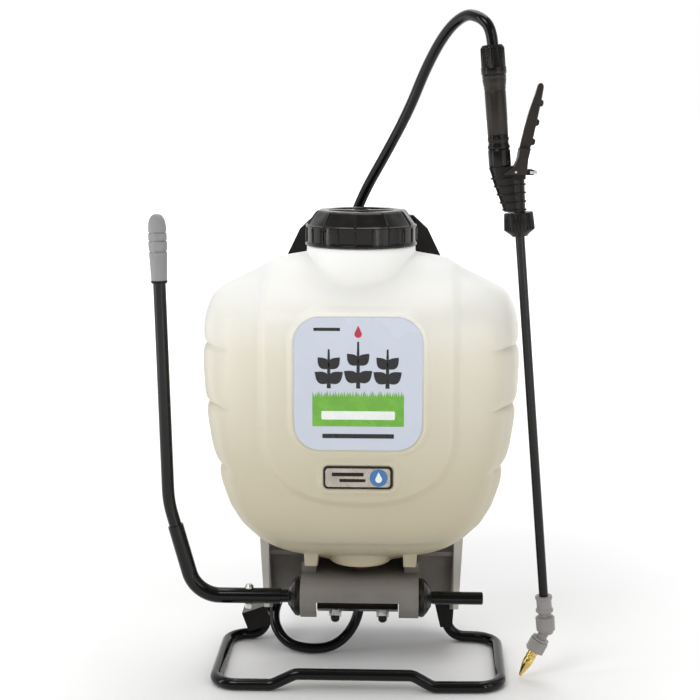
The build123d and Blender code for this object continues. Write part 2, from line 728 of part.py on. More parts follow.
# ---------------------------------------------------------------- handle, valve and wand
def handle_plane(z):
    """Plane across the handle's leaning axis at a height, Z up along it."""
    return Plane(origin=(149.9 - (z - 565) * HANDLE_LEAN, WAND_Y, z), x_dir=(0, 1, 0), z_dir=(-HANDLE_LEAN, 0, 1))


def wand_plane(z):
    """Plane across the wand's leaning axis at a height, Z up along it."""
    return Plane(origin=(172.2 + (467.7 - z) * WAND_LEAN, WAND_Y, z), x_dir=(0, 1, 0), z_dir=(-WAND_LEAN, 0, 1))


def make_handle():
    foot = handle_plane(565)
    stack = {
        "hose_nut": ([(96, 12.6), (98, 13.4), (104, 13.4), (124, 12.2), (126.9, 11.4)], 4),
        "grip_top_collar": ([(80, 11.1), (83, 11.4), (92, 12.4), (96, 12.4)], 6),
        "grip_sleeve": ([(34.5, 10.8), (80, 11.0)], 7),
        "grip_lower_collar": ([(20, 11.8), (22, 11.8), (25, 10.9), (31, 11.3), (34.5, 11.3)], 6),
        "handle_nut": ([(1.4, 11.2), (3, 12), (18, 12), (20, 11.4)], 5),
    }
    for name, (profile, bore) in stack.items():
        with BuildPart() as piece:
            add(turned(foot, profile, bore))
        save(piece, name)
    with BuildPart() as handle_filter:
        add(turned(foot, [(38, 6.9), (40, 6.9), (40, 5.5), (78, 5.5)], 4.5))
    save(handle_filter, "handle_filter")


TRIGGER_PIVOT = (163.5, WAND_Y, 561.0)
STEM_X = 170.0
CLIP_X = 180.0
CLIP_Z = 560.5


def make_valve():
    pivot_x, _, pivot_z = TRIGGER_PIVOT
    with BuildPart() as valve_body:
        with BuildSketch(Plane(origin=(156.2, WAND_Y, 565))):
            Ellipse(21, 11.5)
        with BuildSketch(Plane(origin=(167.5, WAND_Y, 519))):
            Ellipse(11, 11)
        loft()
        for step, z in enumerate((558, 549, 540, 531)):
            share = (565 - z) / 46
            with BuildSketch(Plane(origin=(156.2 + 11.3 * share, WAND_Y, z))):
                Ellipse(22 - 10 * share, 12.6 - 0.5 * share)
            extrude(amount=1.6)
        add(slab((CLIP_X - 8, WAND_Y - 9, CLIP_Z - 3), (CLIP_X + 3, WAND_Y + 9, CLIP_Z + 3)))
        add(slab((pivot_x - 12, WAND_Y - 5.3, 553), (pivot_x + 20, WAND_Y + 5.3, 580)), mode=Mode.SUBTRACT)
        add(rod_along((pivot_x, WAND_Y - 20, pivot_z), (pivot_x, WAND_Y + 20, pivot_z), 2), mode=Mode.SUBTRACT)
        add(rod_along((CLIP_X, WAND_Y - 20, CLIP_Z), (CLIP_X, WAND_Y + 20, CLIP_Z), 1.05), mode=Mode.SUBTRACT)
        add(disc(STEM_X, WAND_Y, 519, 560, 3.05), mode=Mode.SUBTRACT)
        add(rod_along((146, WAND_Y, 552), (160, WAND_Y, 519), 3), mode=Mode.SUBTRACT)
    save(valve_body, "valve_body")

    with BuildPart() as trigger_pin:
        add(rod_along((pivot_x, WAND_Y - 12.5, pivot_z), (pivot_x, WAND_Y + 12.5, pivot_z), 1.95))
    save(trigger_pin, "trigger_pin")

    with BuildPart() as trigger:
        with BuildSketch(Plane.XZ.offset(-WAND_Y - 5)):
            with BuildLine():
                Polyline(
                    (pivot_x - 7.5, 557.5),
                    (pivot_x + 12.5, 557.5),
                    (pivot_x + 15, 574),
                    (pivot_x + 22, 603),
                    (pivot_x + 28, 647),
                    (pivot_x + 26.5, 652),
                    (pivot_x + 23.5, 652),
                    (pivot_x + 20.5, 646),
                    (pivot_x + 5.5, 577),
                    (pivot_x + 1.8, 567),
                    (pivot_x - 7.5, 560),
                    close=True,
                )
            make_face()
        extrude(amount=10)
        add(rod_along((pivot_x, -80, pivot_z), (pivot_x, -40, pivot_z), 2.0), mode=Mode.SUBTRACT)
        stem_slot = (STEM_X - 3.4, WAND_Y - 2.6, 556.5)
        add(slab(stem_slot, (STEM_X + 3.4, WAND_Y + 2.6, 563)), mode=Mode.SUBTRACT)
    save(trigger, "trigger")

    with BuildPart() as valve_stem:
        add(disc(STEM_X, WAND_Y, 526, 553, 3.0))
        add(disc(STEM_X, WAND_Y, 553, 559.5, 1.9))
    save(valve_stem, "valve_stem")

    with BuildPart() as lock_clip:
        for side in (-1, 1):
            outer, inner = side * 10.6, side * 9.2
            leg = sorted((outer, inner))
            add(slab((CLIP_X - 1.5, WAND_Y + leg[0], CLIP_Z - 1.5), (CLIP_X + 6, WAND_Y + leg[1], CLIP_Z + 1.5)))
            add(rod_along((CLIP_X, WAND_Y + side * 6, CLIP_Z), (CLIP_X, WAND_Y + side * 9.4, CLIP_Z), 1.0))
        add(slab((CLIP_X + 4.4, WAND_Y - 10.6, CLIP_Z - 0.7), (CLIP_X + 6, WAND_Y + 10.6, CLIP_Z + 0.7)))
    save(lock_clip, "lock_clip")


def make_wand():
    top = wand_plane(515)
    with BuildPart() as wand_nut:
        add(turned(top, [(-22, 8.5), (-19.5, 10.5), (-16, 15.3), (3.5, 15.7), (3.5, 11)], WAND_R))
        add(slab((140, -80, 518.9), (190, -40, 530)), mode=Mode.SUBTRACT)
    save(wand_nut, "wand_nut")

    foot = wand_plane(96)
    reach = (Vector(*top.origin) - Vector(*foot.origin)).length
    with BuildPart() as wand_tube:
        add(turned(foot, [(-14, WAND_R), (reach, WAND_R)], WAND_R - 1))
    save(wand_tube, "wand_tube")

    with BuildPart() as nozzle_collar:
        collar = [(-26, 6.8), (-19, 6.9), (-18, 9.6), (-15, 9.6), (-14, 8.3), (-4.5, 8.3), (-3, 9.4), (0, 9.4)]
        add(turned(foot, collar))
        add(turned(foot, [(-14, WAND_R), (1, WAND_R)]), mode=Mode.SUBTRACT)
        add(turned(foot, [(-30, 3), (-13, 3)]), mode=Mode.SUBTRACT)
    save(nozzle_collar, "nozzle_collar")

    bend = wand_plane(57)
    lean = math.radians(27)
    spray = Plane(origin=bend.origin, x_dir=(0, 1, 0), z_dir=(-math.sin(lean), 0, -math.cos(lean)))
    with BuildPart() as nozzle_elbow:
        add(turned(bend, [(-5, 5), (-4.4, 7.4), (-0.4, 9.2), (-0.4, 6.2), (9, 6.2), (9, 8), (11.5, 8), (11.5, 3)]))
        add(turned(spray, [(0, 5.6), (11, 5.6), (11, 9.4), (13.5, 9.4), (13.5, 6), (20, 6)]))
        add(turned(spray, [(4, 2.5), (21, 2.5)]), mode=Mode.SUBTRACT)
    save(nozzle_elbow, "nozzle_elbow")

    with BuildPart() as swivel_nut:
        nut = [(0, 10.2), (14, 10.6), (15.5, 9), (15.5, 6.95)]
        add(turned(bend, nut))
        add(turned(bend, [(-6, 6.25), (8.9, 6.25)]), mode=Mode.SUBTRACT)
        add(turned(bend, [(-1, 8), (2, 6.2)]), mode=Mode.SUBTRACT)
        add(turned(bend, [(8.9, 8.1), (11.9, 8.1)]), mode=Mode.SUBTRACT)
        add(turned(bend, [(11.8, 6.95), (16, 6.95)]), mode=Mode.SUBTRACT)
    save(swivel_nut, "swivel_nut")

    with BuildPart() as nozzle_nut:
        add(hexagon(spray, 18.5, 14, 27.5, 6.05))
    save(nozzle_nut, "nozzle_nut")

    with BuildPart() as brass_nozzle:
        add(turned(spray, [(20.1, 5.95), (44, 5.6), (56, 2.6), (61, 1.6)]))
        add(turned(spray, [(20.1, 2), (60, 2)][:1] + [(58, 2), (62, 0.6)]), mode=Mode.SUBTRACT)
    save(brass_nozzle, "brass_nozzle")


tank_outside = make_tank()
make_labels()
make_cap()
make_neck_pieces()
make_pump()
make_shaft()
make_bushings()
make_lever()
make_base(tank_outside)
make_stand()
make_back()
make_hose()
make_handle()
make_valve()
make_wand()
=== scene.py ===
"""Looks of the backpack sprayer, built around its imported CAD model."""

import json
import math

import bmesh
import bpy
import numpy as np
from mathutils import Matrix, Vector


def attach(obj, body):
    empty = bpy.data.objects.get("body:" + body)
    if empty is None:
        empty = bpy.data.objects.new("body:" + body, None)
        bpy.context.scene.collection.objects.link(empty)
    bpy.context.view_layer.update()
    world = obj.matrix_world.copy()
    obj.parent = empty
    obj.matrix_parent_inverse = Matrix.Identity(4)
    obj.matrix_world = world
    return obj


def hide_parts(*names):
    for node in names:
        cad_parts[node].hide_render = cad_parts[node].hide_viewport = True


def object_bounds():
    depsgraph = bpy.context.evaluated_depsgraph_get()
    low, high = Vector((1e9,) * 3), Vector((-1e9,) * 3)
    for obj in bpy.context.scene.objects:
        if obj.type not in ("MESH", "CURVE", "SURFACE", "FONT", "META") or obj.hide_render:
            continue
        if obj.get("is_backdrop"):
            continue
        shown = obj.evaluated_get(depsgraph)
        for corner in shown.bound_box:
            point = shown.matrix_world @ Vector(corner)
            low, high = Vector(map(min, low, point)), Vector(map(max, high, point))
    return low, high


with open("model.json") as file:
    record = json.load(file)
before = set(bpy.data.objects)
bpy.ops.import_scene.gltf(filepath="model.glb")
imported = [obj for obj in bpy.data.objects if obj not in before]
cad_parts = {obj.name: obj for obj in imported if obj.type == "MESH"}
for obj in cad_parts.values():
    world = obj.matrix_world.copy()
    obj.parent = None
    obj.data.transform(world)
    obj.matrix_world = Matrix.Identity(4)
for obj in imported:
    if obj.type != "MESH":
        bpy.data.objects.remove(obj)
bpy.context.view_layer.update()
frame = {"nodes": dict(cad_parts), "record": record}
nodes = frame["nodes"]
scene = bpy.context.scene

SHIFT_X, SHIFT_Y = 6.3, -15.0


def at(x, y, z):
    """A point given in millimetres about the tank's own axis, in metres in the shared frame."""
    return Vector((x + SHIFT_X, y + SHIFT_Y, z)) / 1000


# ---------------------------------------------------------------- camera
CAMERA_PLACE = (0.0554, -1.615, 0.630)
PITCH_DOWN, TURN = 9.59, 2.2
SENSOR_WIDTH, FOCAL_LENGTH = 36, 74.57
camera_data = bpy.data.cameras.new("camera")
camera_data.sensor_width = SENSOR_WIDTH
camera_data.lens = FOCAL_LENGTH
camera = bpy.data.objects.new("camera", camera_data)
camera.location = CAMERA_PLACE
camera.rotation_euler = (math.radians(90 - PITCH_DOWN), 0, math.radians(TURN))
scene.collection.objects.link(camera)
scene.camera = camera


# ---------------------------------------------------------------- materials
def add_node(tree, kind, inputs=None, **settings):
    made = tree.nodes.new(kind)
    for name, value in settings.items():
        setattr(made, name, value)
    for name, value in (inputs or {}).items():
        if isinstance(value, bpy.types.NodeSocket):
            tree.links.new(value, made.inputs[name])
        else:
            made.inputs[name].default_value = value
    return made


def rgb(color):
    return (*color, 1.0)


def tinted(color, factor):
    return rgb([min(1.0, c * factor) for c in color])


def ramp(tree, value, stops):
    made = add_node(tree, "ShaderNodeValToRGB", {"Fac": value})
    while len(made.color_ramp.elements) < len(stops):
        made.color_ramp.elements.new(0.5)
    for element, (place, color) in zip(made.color_ramp.elements, stops):
        element.position = place
        element.color = rgb(color)
    return made.outputs["Color"]


def start_material(name):
    made = bpy.data.materials.new(name)
    made.use_nodes = True
    tree = made.node_tree
    shader = tree.nodes["Principled BSDF"]
    coords = add_node(tree, "ShaderNodeTexCoord").outputs["Object"]
    return made, tree, shader, coords


def surface(name, base, rough=(0.3, 0.5), metal=0.0, vary=0.12, patch=25, grain=900, depth=0.00004,
            coat=0.0, edge=0.0004, stretch=(1, 1, 1), wear=None, shine=0.36):
    """Solid surface: patchy colour, uneven roughness, a fine grain, rounded edges and, if given, worn spots.

    shine is how strongly it reflects, unless it is a metal.
    """
    made, tree, shader, coords = start_material(name)
    moved = add_node(tree, "ShaderNodeMapping", {"Vector": coords, "Scale": stretch}).outputs["Vector"]
    broad = add_node(
        tree, "ShaderNodeTexNoise", {"Vector": moved, "Scale": patch, "Detail": 5.0, "Roughness": 0.6},
    ).outputs["Fac"]
    fine = add_node(tree, "ShaderNodeTexNoise", {"Vector": moved, "Scale": grain, "Detail": 2.0}).outputs["Fac"]
    color = ramp(tree, broad, [(0.3, tinted(base, 1 - vary)[:3]), (0.7, tinted(base, 1 + vary)[:3])])
    if wear:
        spots = add_node(
            tree, "ShaderNodeTexNoise", {"Vector": coords, "Scale": 180.0, "Detail": 6.0, "Roughness": 0.7},
        ).outputs["Fac"]
        share = add_node(
            tree, "ShaderNodeMapRange", {"Value": spots, "From Min": 0.66, "From Max": 0.74},
        ).outputs["Result"]
        mixed = add_node(tree, "ShaderNodeMix", {"Factor": share}, data_type="RGBA")
        tree.links.new(color, mixed.inputs["A"])
        mixed.inputs["B"].default_value = rgb(wear)
        color = mixed.outputs["Result"]
    tree.links.new(color, shader.inputs["Base Color"])
    uneven = add_node(
        tree, "ShaderNodeMapRange",
        {"Value": broad, "From Min": 0.3, "From Max": 0.7, "To Min": rough[0], "To Max": rough[1]},
    )
    tree.links.new(uneven.outputs["Result"], shader.inputs["Roughness"])
    shader.inputs["Metallic"].default_value = metal
    shader.inputs["Coat Weight"].default_value = coat
    shader.inputs["Coat Roughness"].default_value = 0.08
    shader.inputs["Specular IOR Level"].default_value = 0.5 if metal else shine
    bump = add_node(tree, "ShaderNodeBump", {"Height": fine, "Strength": 0.6, "Distance": depth})
    if edge:
        rounded = add_node(tree, "ShaderNodeBevel", {"Radius": edge}, samples=4)
        tree.links.new(rounded.outputs["Normal"], bump.inputs["Normal"])
    tree.links.new(bump.outputs["Normal"], shader.inputs["Normal"])
    return made


def woven(name, base, pitch=0.0016, depth=0.0003):
    """Woven cloth: two crossed sets of threads with a soft sheen."""
    made, tree, shader, coords = start_material(name)
    rate = 1 / pitch
    waves = {"Vector": coords, "Scale": rate / 6.283, "Distortion": 0.4, "Detail": 1.0, "Detail Scale": 60.0}
    across = add_node(tree, "ShaderNodeTexWave", waves, bands_direction="DIAGONAL")
    upward = add_node(tree, "ShaderNodeTexWave", waves, bands_direction="Z")
    both = add_node(
        tree, "ShaderNodeMath", {0: across.outputs["Fac"], 1: upward.outputs["Fac"]}, operation="MULTIPLY",
    ).outputs["Value"]
    broad = add_node(tree, "ShaderNodeTexNoise", {"Vector": coords, "Scale": 30.0, "Detail": 4.0}).outputs["Fac"]
    threads = ramp(tree, both, [(0.1, tinted(base, 0.55)[:3]), (0.8, tinted(base, 1.6)[:3])])
    mixed = add_node(tree, "ShaderNodeMix", {"Factor": broad}, data_type="RGBA")
    tree.links.new(threads, mixed.inputs["A"])
    mixed.inputs["B"].default_value = rgb(base)
    tree.links.new(mixed.outputs["Result"], shader.inputs["Base Color"])
    shader.inputs["Roughness"].default_value = 0.85
    shader.inputs["Sheen Weight"].default_value = 0.35
    bump = add_node(tree, "ShaderNodeBump", {"Height": both, "Strength": 0.8, "Distance": depth})
    tree.links.new(bump.outputs["Normal"], shader.inputs["Normal"])
    return made


def tank_tone_and_painted_shade():
    """Cloudy polyethylene, with painted shade: near white above, warmer and darker below, where less light falls; the
    warm tone is partly the plastic's own.
    """
    made, tree, shader, coords = start_material("tank_plastic")
    height = add_node(tree, "ShaderNodeSeparateXYZ", {"Vector": coords}).outputs["Z"]
    cloud = add_node(tree, "ShaderNodeTexNoise", {"Vector": coords, "Scale": 9.0, "Detail": 3.0}).outputs["Fac"]
    shift = add_node(tree, "ShaderNodeMapRange", {"Value": cloud, "To Min": -0.015, "To Max": 0.015}).outputs["Result"]
    moved = add_node(tree, "ShaderNodeMath", {0: height, 1: shift}, operation="ADD").outputs["Value"]
    share = add_node(tree, "ShaderNodeMapRange", {"Value": moved, "From Min": 0.12, "From Max": 0.47}).outputs["Result"]
    # Painted shade: the ramp darkens and warms the plastic towards the bottom for the light falling from above, on top
    # of its own yellowish tone.
    color = ramp(
        tree, share,
        [
            (0.0, (0.48, 0.42, 0.29)), (0.35, (0.57, 0.52, 0.385)), (0.7, (0.705, 0.67, 0.56)),
            (0.86, (0.83, 0.82, 0.77)), (1.0, (0.88, 0.875, 0.85)),
        ],
    )
    tree.links.new(color, shader.inputs["Base Color"])
    shader.inputs["Roughness"].default_value = 0.4
    shader.inputs["Subsurface Weight"].default_value = 0.3
    shader.inputs["Subsurface Radius"].default_value = (0.02, 0.016, 0.01)
    shader.inputs["Subsurface Scale"].default_value = 0.5
    peel = add_node(tree, "ShaderNodeTexNoise", {"Vector": coords, "Scale": 160.0, "Detail": 3.0}).outputs["Fac"]
    bump = add_node(tree, "ShaderNodeBump", {"Height": peel, "Strength": 0.35, "Distance": 0.00025})
    tree.links.new(bump.outputs["Normal"], shader.inputs["Normal"])
    return made


def base_with_painted_lit_edges():
    """Moulded grey plastic with painted light: the side walls' front edges are painted as lighter outer strips beside
    the darker inner panels.
    """
    made = surface("base_plastic", (0.185, 0.172, 0.155), rough=(0.42, 0.6), vary=0.1, grain=700, depth=0.00008)
    tree = made.node_tree
    shader = tree.nodes["Principled BSDF"]
    darker = shader.inputs["Base Color"].links[0].from_socket
    coords = next(n for n in tree.nodes if n.type == "TEX_COORD").outputs["Object"]
    across = add_node(tree, "ShaderNodeSeparateXYZ", {"Vector": coords}).outputs["X"]
    off_axis = add_node(tree, "ShaderNodeMath", {0: across, 1: -SHIFT_X / 1000}, operation="ADD").outputs["Value"]
    side = add_node(tree, "ShaderNodeMath", {0: off_axis}, operation="ABSOLUTE").outputs["Value"]
    share = add_node(
        tree, "ShaderNodeMapRange", {"Value": side, "From Min": 0.1065, "From Max": 0.1075},
    ).outputs["Result"]
    mixed = add_node(tree, "ShaderNodeMix", {"Factor": share}, data_type="RGBA")
    tree.links.new(darker, mixed.inputs["A"])
    # Painted highlight: this lighter grey on the outer strips stands in for light caught by the side walls' front
    # edges.
    mixed.inputs["B"].default_value = rgb((0.60, 0.58, 0.54))
    tree.links.new(mixed.outputs["Result"], shader.inputs["Base Color"])
    return made


def floor_material():
    """Pale studio floor that glows softly far from the object, like a lit sweep."""
    made = surface("floor", (0.93, 0.93, 0.93), rough=(0.6, 0.7), vary=0.01, patch=3, edge=0)
    tree = made.node_tree
    shader = tree.nodes["Principled BSDF"]
    coords = next(n for n in tree.nodes if n.type == "TEX_COORD").outputs["Object"]
    away = add_node(tree, "ShaderNodeVectorMath", {0: coords}, operation="LENGTH").outputs["Value"]
    glow = add_node(
        tree, "ShaderNodeMapRange", {"Value": away, "From Min": 0.3, "From Max": 2.2, "To Min": 0.0, "To Max": 0.85},
    ).outputs["Result"]
    tree.links.new(glow, shader.inputs["Emission Strength"])
    shader.inputs["Emission Color"].default_value = (1, 1, 1, 1)
    return made


BLACK_TUBE = surface(
    "black_paint", (0.004, 0.004, 0.004), rough=(0.08, 0.16), coat=0.22, shine=0.16, grain=350, depth=0.00002,
    wear=(0.05, 0.048, 0.045),
)
BLACK_PLASTIC = surface(
    "black_plastic", (0.008, 0.007, 0.006), rough=(0.16, 0.3), shine=0.2, vary=0.25, grain=1100, depth=0.00005,
)
CAP_PLASTIC = surface(
    "cap_plastic", (0.010, 0.0085, 0.0075), rough=(0.12, 0.26), shine=0.24, vary=0.3, grain=1000, depth=0.00004,
)
SLEEVE = surface(
    "grip_plastic", (0.024, 0.0195, 0.016), rough=(0.28, 0.42), shine=0.2, vary=0.15, grain=1300, depth=0.00009,
)
LIGHT_GREY = surface("light_grey_plastic", (0.30, 0.285, 0.275), rough=(0.35, 0.5), vary=0.1, grain=900, depth=0.00006)
GRIP_GREY = surface("lever_grip_plastic", (0.27, 0.27, 0.275), rough=(0.4, 0.55), vary=0.08, grain=900, depth=0.00006)
PUMP_WHITE = surface("pump_plastic", (0.75, 0.75, 0.72), rough=(0.4, 0.55), vary=0.05)
ZINC = surface(
    "zinc", (0.66, 0.66, 0.63), rough=(0.22, 0.4), metal=1.0, vary=0.15, patch=120, grain=1500, depth=0.00003,
)
STEEL = surface(
    "steel", (0.55, 0.55, 0.55), rough=(0.18, 0.32), metal=1.0, vary=0.1, grain=1500, depth=0.00002,
    stretch=(1, 1, 0.1),
)
BRASS = surface(
    "brass", (0.83, 0.60, 0.20), rough=(0.2, 0.34), metal=1.0, vary=0.12, patch=90, grain=1800, depth=0.00002,
)
SEAL = surface("seal_rubber", (0.10, 0.018, 0.016), rough=(0.5, 0.7), vary=0.2)
HOSE_RUBBER = surface(
    "hose_rubber", (0.004, 0.004, 0.004), rough=(0.08, 0.16), coat=0.22, shine=0.16, vary=0.3, grain=500, depth=0.00004,
    edge=0,
)
PAD_CLOTH = woven("pad_cloth", (0.028, 0.028, 0.030))
WEB_CLOTH = woven("web_cloth", (0.020, 0.020, 0.021), pitch=0.0022, depth=0.0004)
PIPING = surface("piping", (0.016, 0.016, 0.017), rough=(0.6, 0.75), vary=0.2, grain=1600, depth=0.0001, edge=0)
LABEL_FILM = surface("label_film", (0.56, 0.60, 0.68), rough=(0.2, 0.3), vary=0.04, patch=8, grain=300, depth=0.00001)
LABEL_GREEN = surface("label_green", (0.155, 0.41, 0.045), rough=(0.22, 0.32), vary=0.12, patch=60, edge=0)
LABEL_INK = surface("label_ink", (0.012, 0.012, 0.013), rough=(0.22, 0.32), vary=0.2, edge=0)
LABEL_WHITE = surface("label_white", (0.80, 0.83, 0.80), rough=(0.22, 0.32), vary=0.05, edge=0)
LABEL_RED = surface("label_red", (0.45, 0.03, 0.06), rough=(0.22, 0.32), vary=0.1, edge=0)
BADGE_METAL = surface("badge_metal", (0.40, 0.36, 0.31), rough=(0.2, 0.35), metal=0.6, vary=0.2, patch=70)
BADGE_BLUE = surface("badge_blue", (0.02, 0.14, 0.36), rough=(0.12, 0.22), vary=0.15, coat=0.5, edge=0)
TANK = tank_tone_and_painted_shade()
BASE_WITH_LIT_EDGES = base_with_painted_lit_edges()


# ---------------------------------------------------------------- making pieces
def paint(obj, look):
    obj.data.materials.clear()
    obj.data.materials.append(look)


def new_piece(name, mesh_data, look, body="root", slot=None, replaces=(), bevel=0.0, angle=35):
    obj = bpy.data.objects.new(name, mesh_data)
    scene.collection.objects.link(obj)
    paint(obj, look)
    for polygon in mesh_data.polygons:
        polygon.use_smooth = True
    if bevel:
        rounded = obj.modifiers.new("edges", "BEVEL")
        rounded.width = bevel
        rounded.segments = 2
        rounded.limit_method = "ANGLE"
        rounded.angle_limit = math.radians(angle)
        rounded.harden_normals = True
    mesh_data.set_sharp_from_angle(angle=math.radians(angle))
    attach(obj, body)
    if replaces:
        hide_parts(*replaces)
    return obj


def mesh_of(name, vertices, faces):
    made = bpy.data.meshes.new(name)
    made.from_pydata([tuple(v) for v in vertices], [], faces)
    work = bmesh.new()
    work.from_mesh(made)
    bmesh.ops.remove_doubles(work, verts=work.verts, dist=1e-6)
    bmesh.ops.recalc_face_normals(work, faces=work.faces)
    work.to_mesh(made)
    work.free()
    return made


def rings_mesh(name, rings, closed=False):
    """Skin over rings of equal point counts. A closed one joins its last ring to its first, and others get caps."""
    count = len(rings[0])
    vertices = [p for ring in rings for p in ring]
    faces = []
    pairs = list(zip(range(len(rings)), range(1, len(rings))))
    if closed:
        pairs.append((len(rings) - 1, 0))
    for low, high in pairs:
        for i in range(count):
            j = (i + 1) % count
            faces.append((low * count + i, low * count + j, high * count + j, high * count + i))
    if not closed:
        faces.append(tuple(range(count)))
        faces.append(tuple((len(rings) - 1) * count + i for i in range(count)))
    return mesh_of(name, vertices, faces)


def finer(profile, step):
    """The same (height, radius) outline with no run longer than step."""
    out = [profile[0]]
    for (h0, r0), (h1, r1) in zip(profile, profile[1:]):
        parts = max(1, math.ceil(math.hypot(h1 - h0, r1 - r0) / step))
        out += [(h0 + (h1 - h0) * i / parts, r0 + (r1 - r0) * i / parts) for i in range(1, parts + 1)]
    return out


def turned(name, foot, up, profile, look, relief=None, segments=96, step=None, closed=False, **options):
    """Round piece about an axis. relief(turn in degrees, height, radius) gives extra radius, in millimetres."""
    up = Vector(up).normalized()
    side = Vector((0, 1, 0))
    side = (side - up * side.dot(up)).normalized()
    other = up.cross(side)
    outline = finer(profile, step) if step else profile
    rings = []
    for height, radius in outline:
        ring = []
        for i in range(segments):
            turn = 2 * math.pi * i / segments
            extra = relief(math.degrees(turn), height, radius) if relief else 0
            r = max(0.02, radius + extra) / 1000
            ring.append(foot + up * (height / 1000) + side * (math.cos(turn) * r) + other * (math.sin(turn) * r))
        rings.append(ring)
    return new_piece(name, rings_mesh(name, rings, closed), look, **options)


def pulse(turn, every, half_width):
    """1 on a rib and 0 between ribs that come every so many degrees."""
    off = abs((turn + every / 2) % every - every / 2)
    return max(0.0, min(1.0, (half_width - off) / (half_width * 0.4)))


def ribbed(every, half_width, height, low, high):
    def relief(turn, level, radius):
        return height * pulse(turn, every, half_width) if low <= level <= high else 0
    return relief


def plate(name, outline, front, back, look, **options):
    """Flat piece facing the label side: outline in (x, z), between two depths, all in millimetres."""
    near = [at(x, front, z) for x, z in outline]
    far = [at(x, back, z) for x, z in outline]
    return new_piece(name, rings_mesh(name, [near, far]), look, **options)


def rounded_rect(x, z, half_x, half_z, corner, steps=10):
    points = []
    for quarter, (sx, sz) in enumerate(((1, 1), (-1, 1), (-1, -1), (1, -1))):
        for i in range(steps + 1):
            turn = math.radians(90 * quarter + 90 * i / steps)
            points.append(
                (
                    x + sx * (half_x - corner) + corner * math.cos(turn),
                    z + sz * (half_z - corner) + corner * math.sin(turn),
                )
            )
    return points


def ease(value, low, high):
    """0 below low, 1 above high, and smooth between."""
    t = np.clip((value - low) / (high - low), 0, 1)
    return t * t * (3 - 2 * t)


# ---------------------------------------------------------------- hose
HOSE_D = 0.012
HOSE_POINTS = [
    (0, 20, 90), (0, 20, 60), (-8, 17, 28), (-30, 8, 7.4), (-60, 1, 6.2), (-88, 5, 12), (-104, 21, 33),
    (-99, 36, 56), (-80, 52, 78), (-64, 70, 102), (-50, 86, 142), (-46, 88, 200), (-46, 87, 270),
    (-42, 88, 340), (-34, 88, 405), (-23, 89, 466), (-3, 86, 524), (26, 72, 575), (52, 52, 624),
    (71, 26, 672), (91, -6, 708), (110, -33, 724.5), (125, -53, 720.5), (136.4, -60, 708.4), (138, -60, 691.4),
]
hose_curve = bpy.data.curves.new("spray_hose", "CURVE")
hose_curve.dimensions = "3D"
hose_curve.bevel_depth = HOSE_D / 2
hose_curve.bevel_resolution = 8
hose_curve.resolution_u = 10
line = hose_curve.splines.new("NURBS")
line.points.add(len(HOSE_POINTS) - 1)
for point, place in zip(line.points, HOSE_POINTS):
    point.co = (*at(*place), 1)
line.order_u = 3
line.use_endpoint_u = True
hose = bpy.data.objects.new("spray_hose", hose_curve)
scene.collection.objects.link(hose)
paint(hose, HOSE_RUBBER)
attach(hose, "root")
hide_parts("hose")

# ---------------------------------------------------------------- tank
SQUARENESS = 3.1
# Chosen sections of the tank: height, half width, reach to the front and reach to the back.
TANK_ROWS = [
    (126, 66, 24, 47), (133, 88, 39, 59), (141, 104, 57, 67), (151, 119, 74, 72), (166, 135.5, 85, 75),
    (186, 147.6, 91, 76), (210, 156, 94.5, 77), (233, 161.5, 96, 78), (256, 167, 96.6, 78),
    (279, 170.5, 97, 78), (302, 173.5, 97, 78), (325, 174.8, 97, 78), (348, 175.9, 97, 78),
    (371, 175.6, 97, 78), (393, 174.2, 96.5, 77.5), (405, 171.8, 94.5, 76.5), (416, 168, 88, 75.5),
    (427, 162, 76, 73.5), (438, 148.5, 60, 70), (450, 123.5, 47, 63), (459.5, 108, 37, 56), (465, 88, 29, 48),
    (468.5, 65, 22, 40), (471, 43, 14, 30), (480, 20, 6, 15),
]
TANK_LEVELS, HALF_WIDTHS, FRONT_REACH, BACK_REACH = zip(*TANK_ROWS)
WIDTH_SPREAD, REACH_SPREAD = 7, 16  # how far each side of a height the sections are averaged
NECK_R, SPOUT_R, SPOUT_BORE, SPOUT_TOP = 60.0, 54, 50, 500
WALL = 3.2
PUMP_Y, SUMP_R = -9.22, 36.2
SUMP_TOP, NECK_FOOT, NECK_TOP = 150, 415, 470
PANEL_X, PANEL_BEND_Z, PANEL_FOOT_Z = 98.0, 287.0, 211.5
PANEL_EDGE, PANEL_STEP, PANEL_CORNER = 12.0, 6.5, 2.4
NOTCHES = [(370.5, 5.0, 5), (304, 5.2, 5.5), (232.5, 6.0, 7)]  # height, depth, half height
LABEL_Z, LABEL_HALF_X, LABEL_HALF_Z, LABEL_CORNER = 339.5, 68, 71.5, 28
BADGE_Z = 238
LABEL_FACE, BADGE_FACE = -98.15, -97.3
RING_STEP = 1.5


def columns():
    """Directions from the tank's axis, closer together across the front."""
    front = []
    for x in np.arange(-150, 150.1, 1.5):
        y = -97 * (1 - (abs(x) / 176) ** SQUARENESS) ** (1 / SQUARENESS)
        front.append(math.atan2(y, x))
    start, end = front[-1], front[0] + 2 * math.pi
    around = np.linspace(start, end, 132)[1:-1]
    return np.array(front + list(around))


COLUMNS = columns()
COS, SIN = np.cos(COLUMNS), np.sin(COLUMNS)


def soft_value(values, z, spread):
    """A section's value at a height, averaged over the heights near it except at the tank's foot."""
    dense = np.arange(TANK_LEVELS[0] - 40, TANK_LEVELS[-1] + 40, 1.0)
    raw = np.interp(dense, TANK_LEVELS, values)
    kernel = 1 + np.cos(np.linspace(-math.pi, math.pi, 2 * spread + 1))
    smooth = np.convolve(raw, kernel / kernel.sum(), mode="same")
    keep = ease(dense, TANK_LEVELS[0] + 2, TANK_LEVELS[0] + 22)
    return float(np.interp([z], dense, raw * (1 - keep) + smooth * keep)[0])


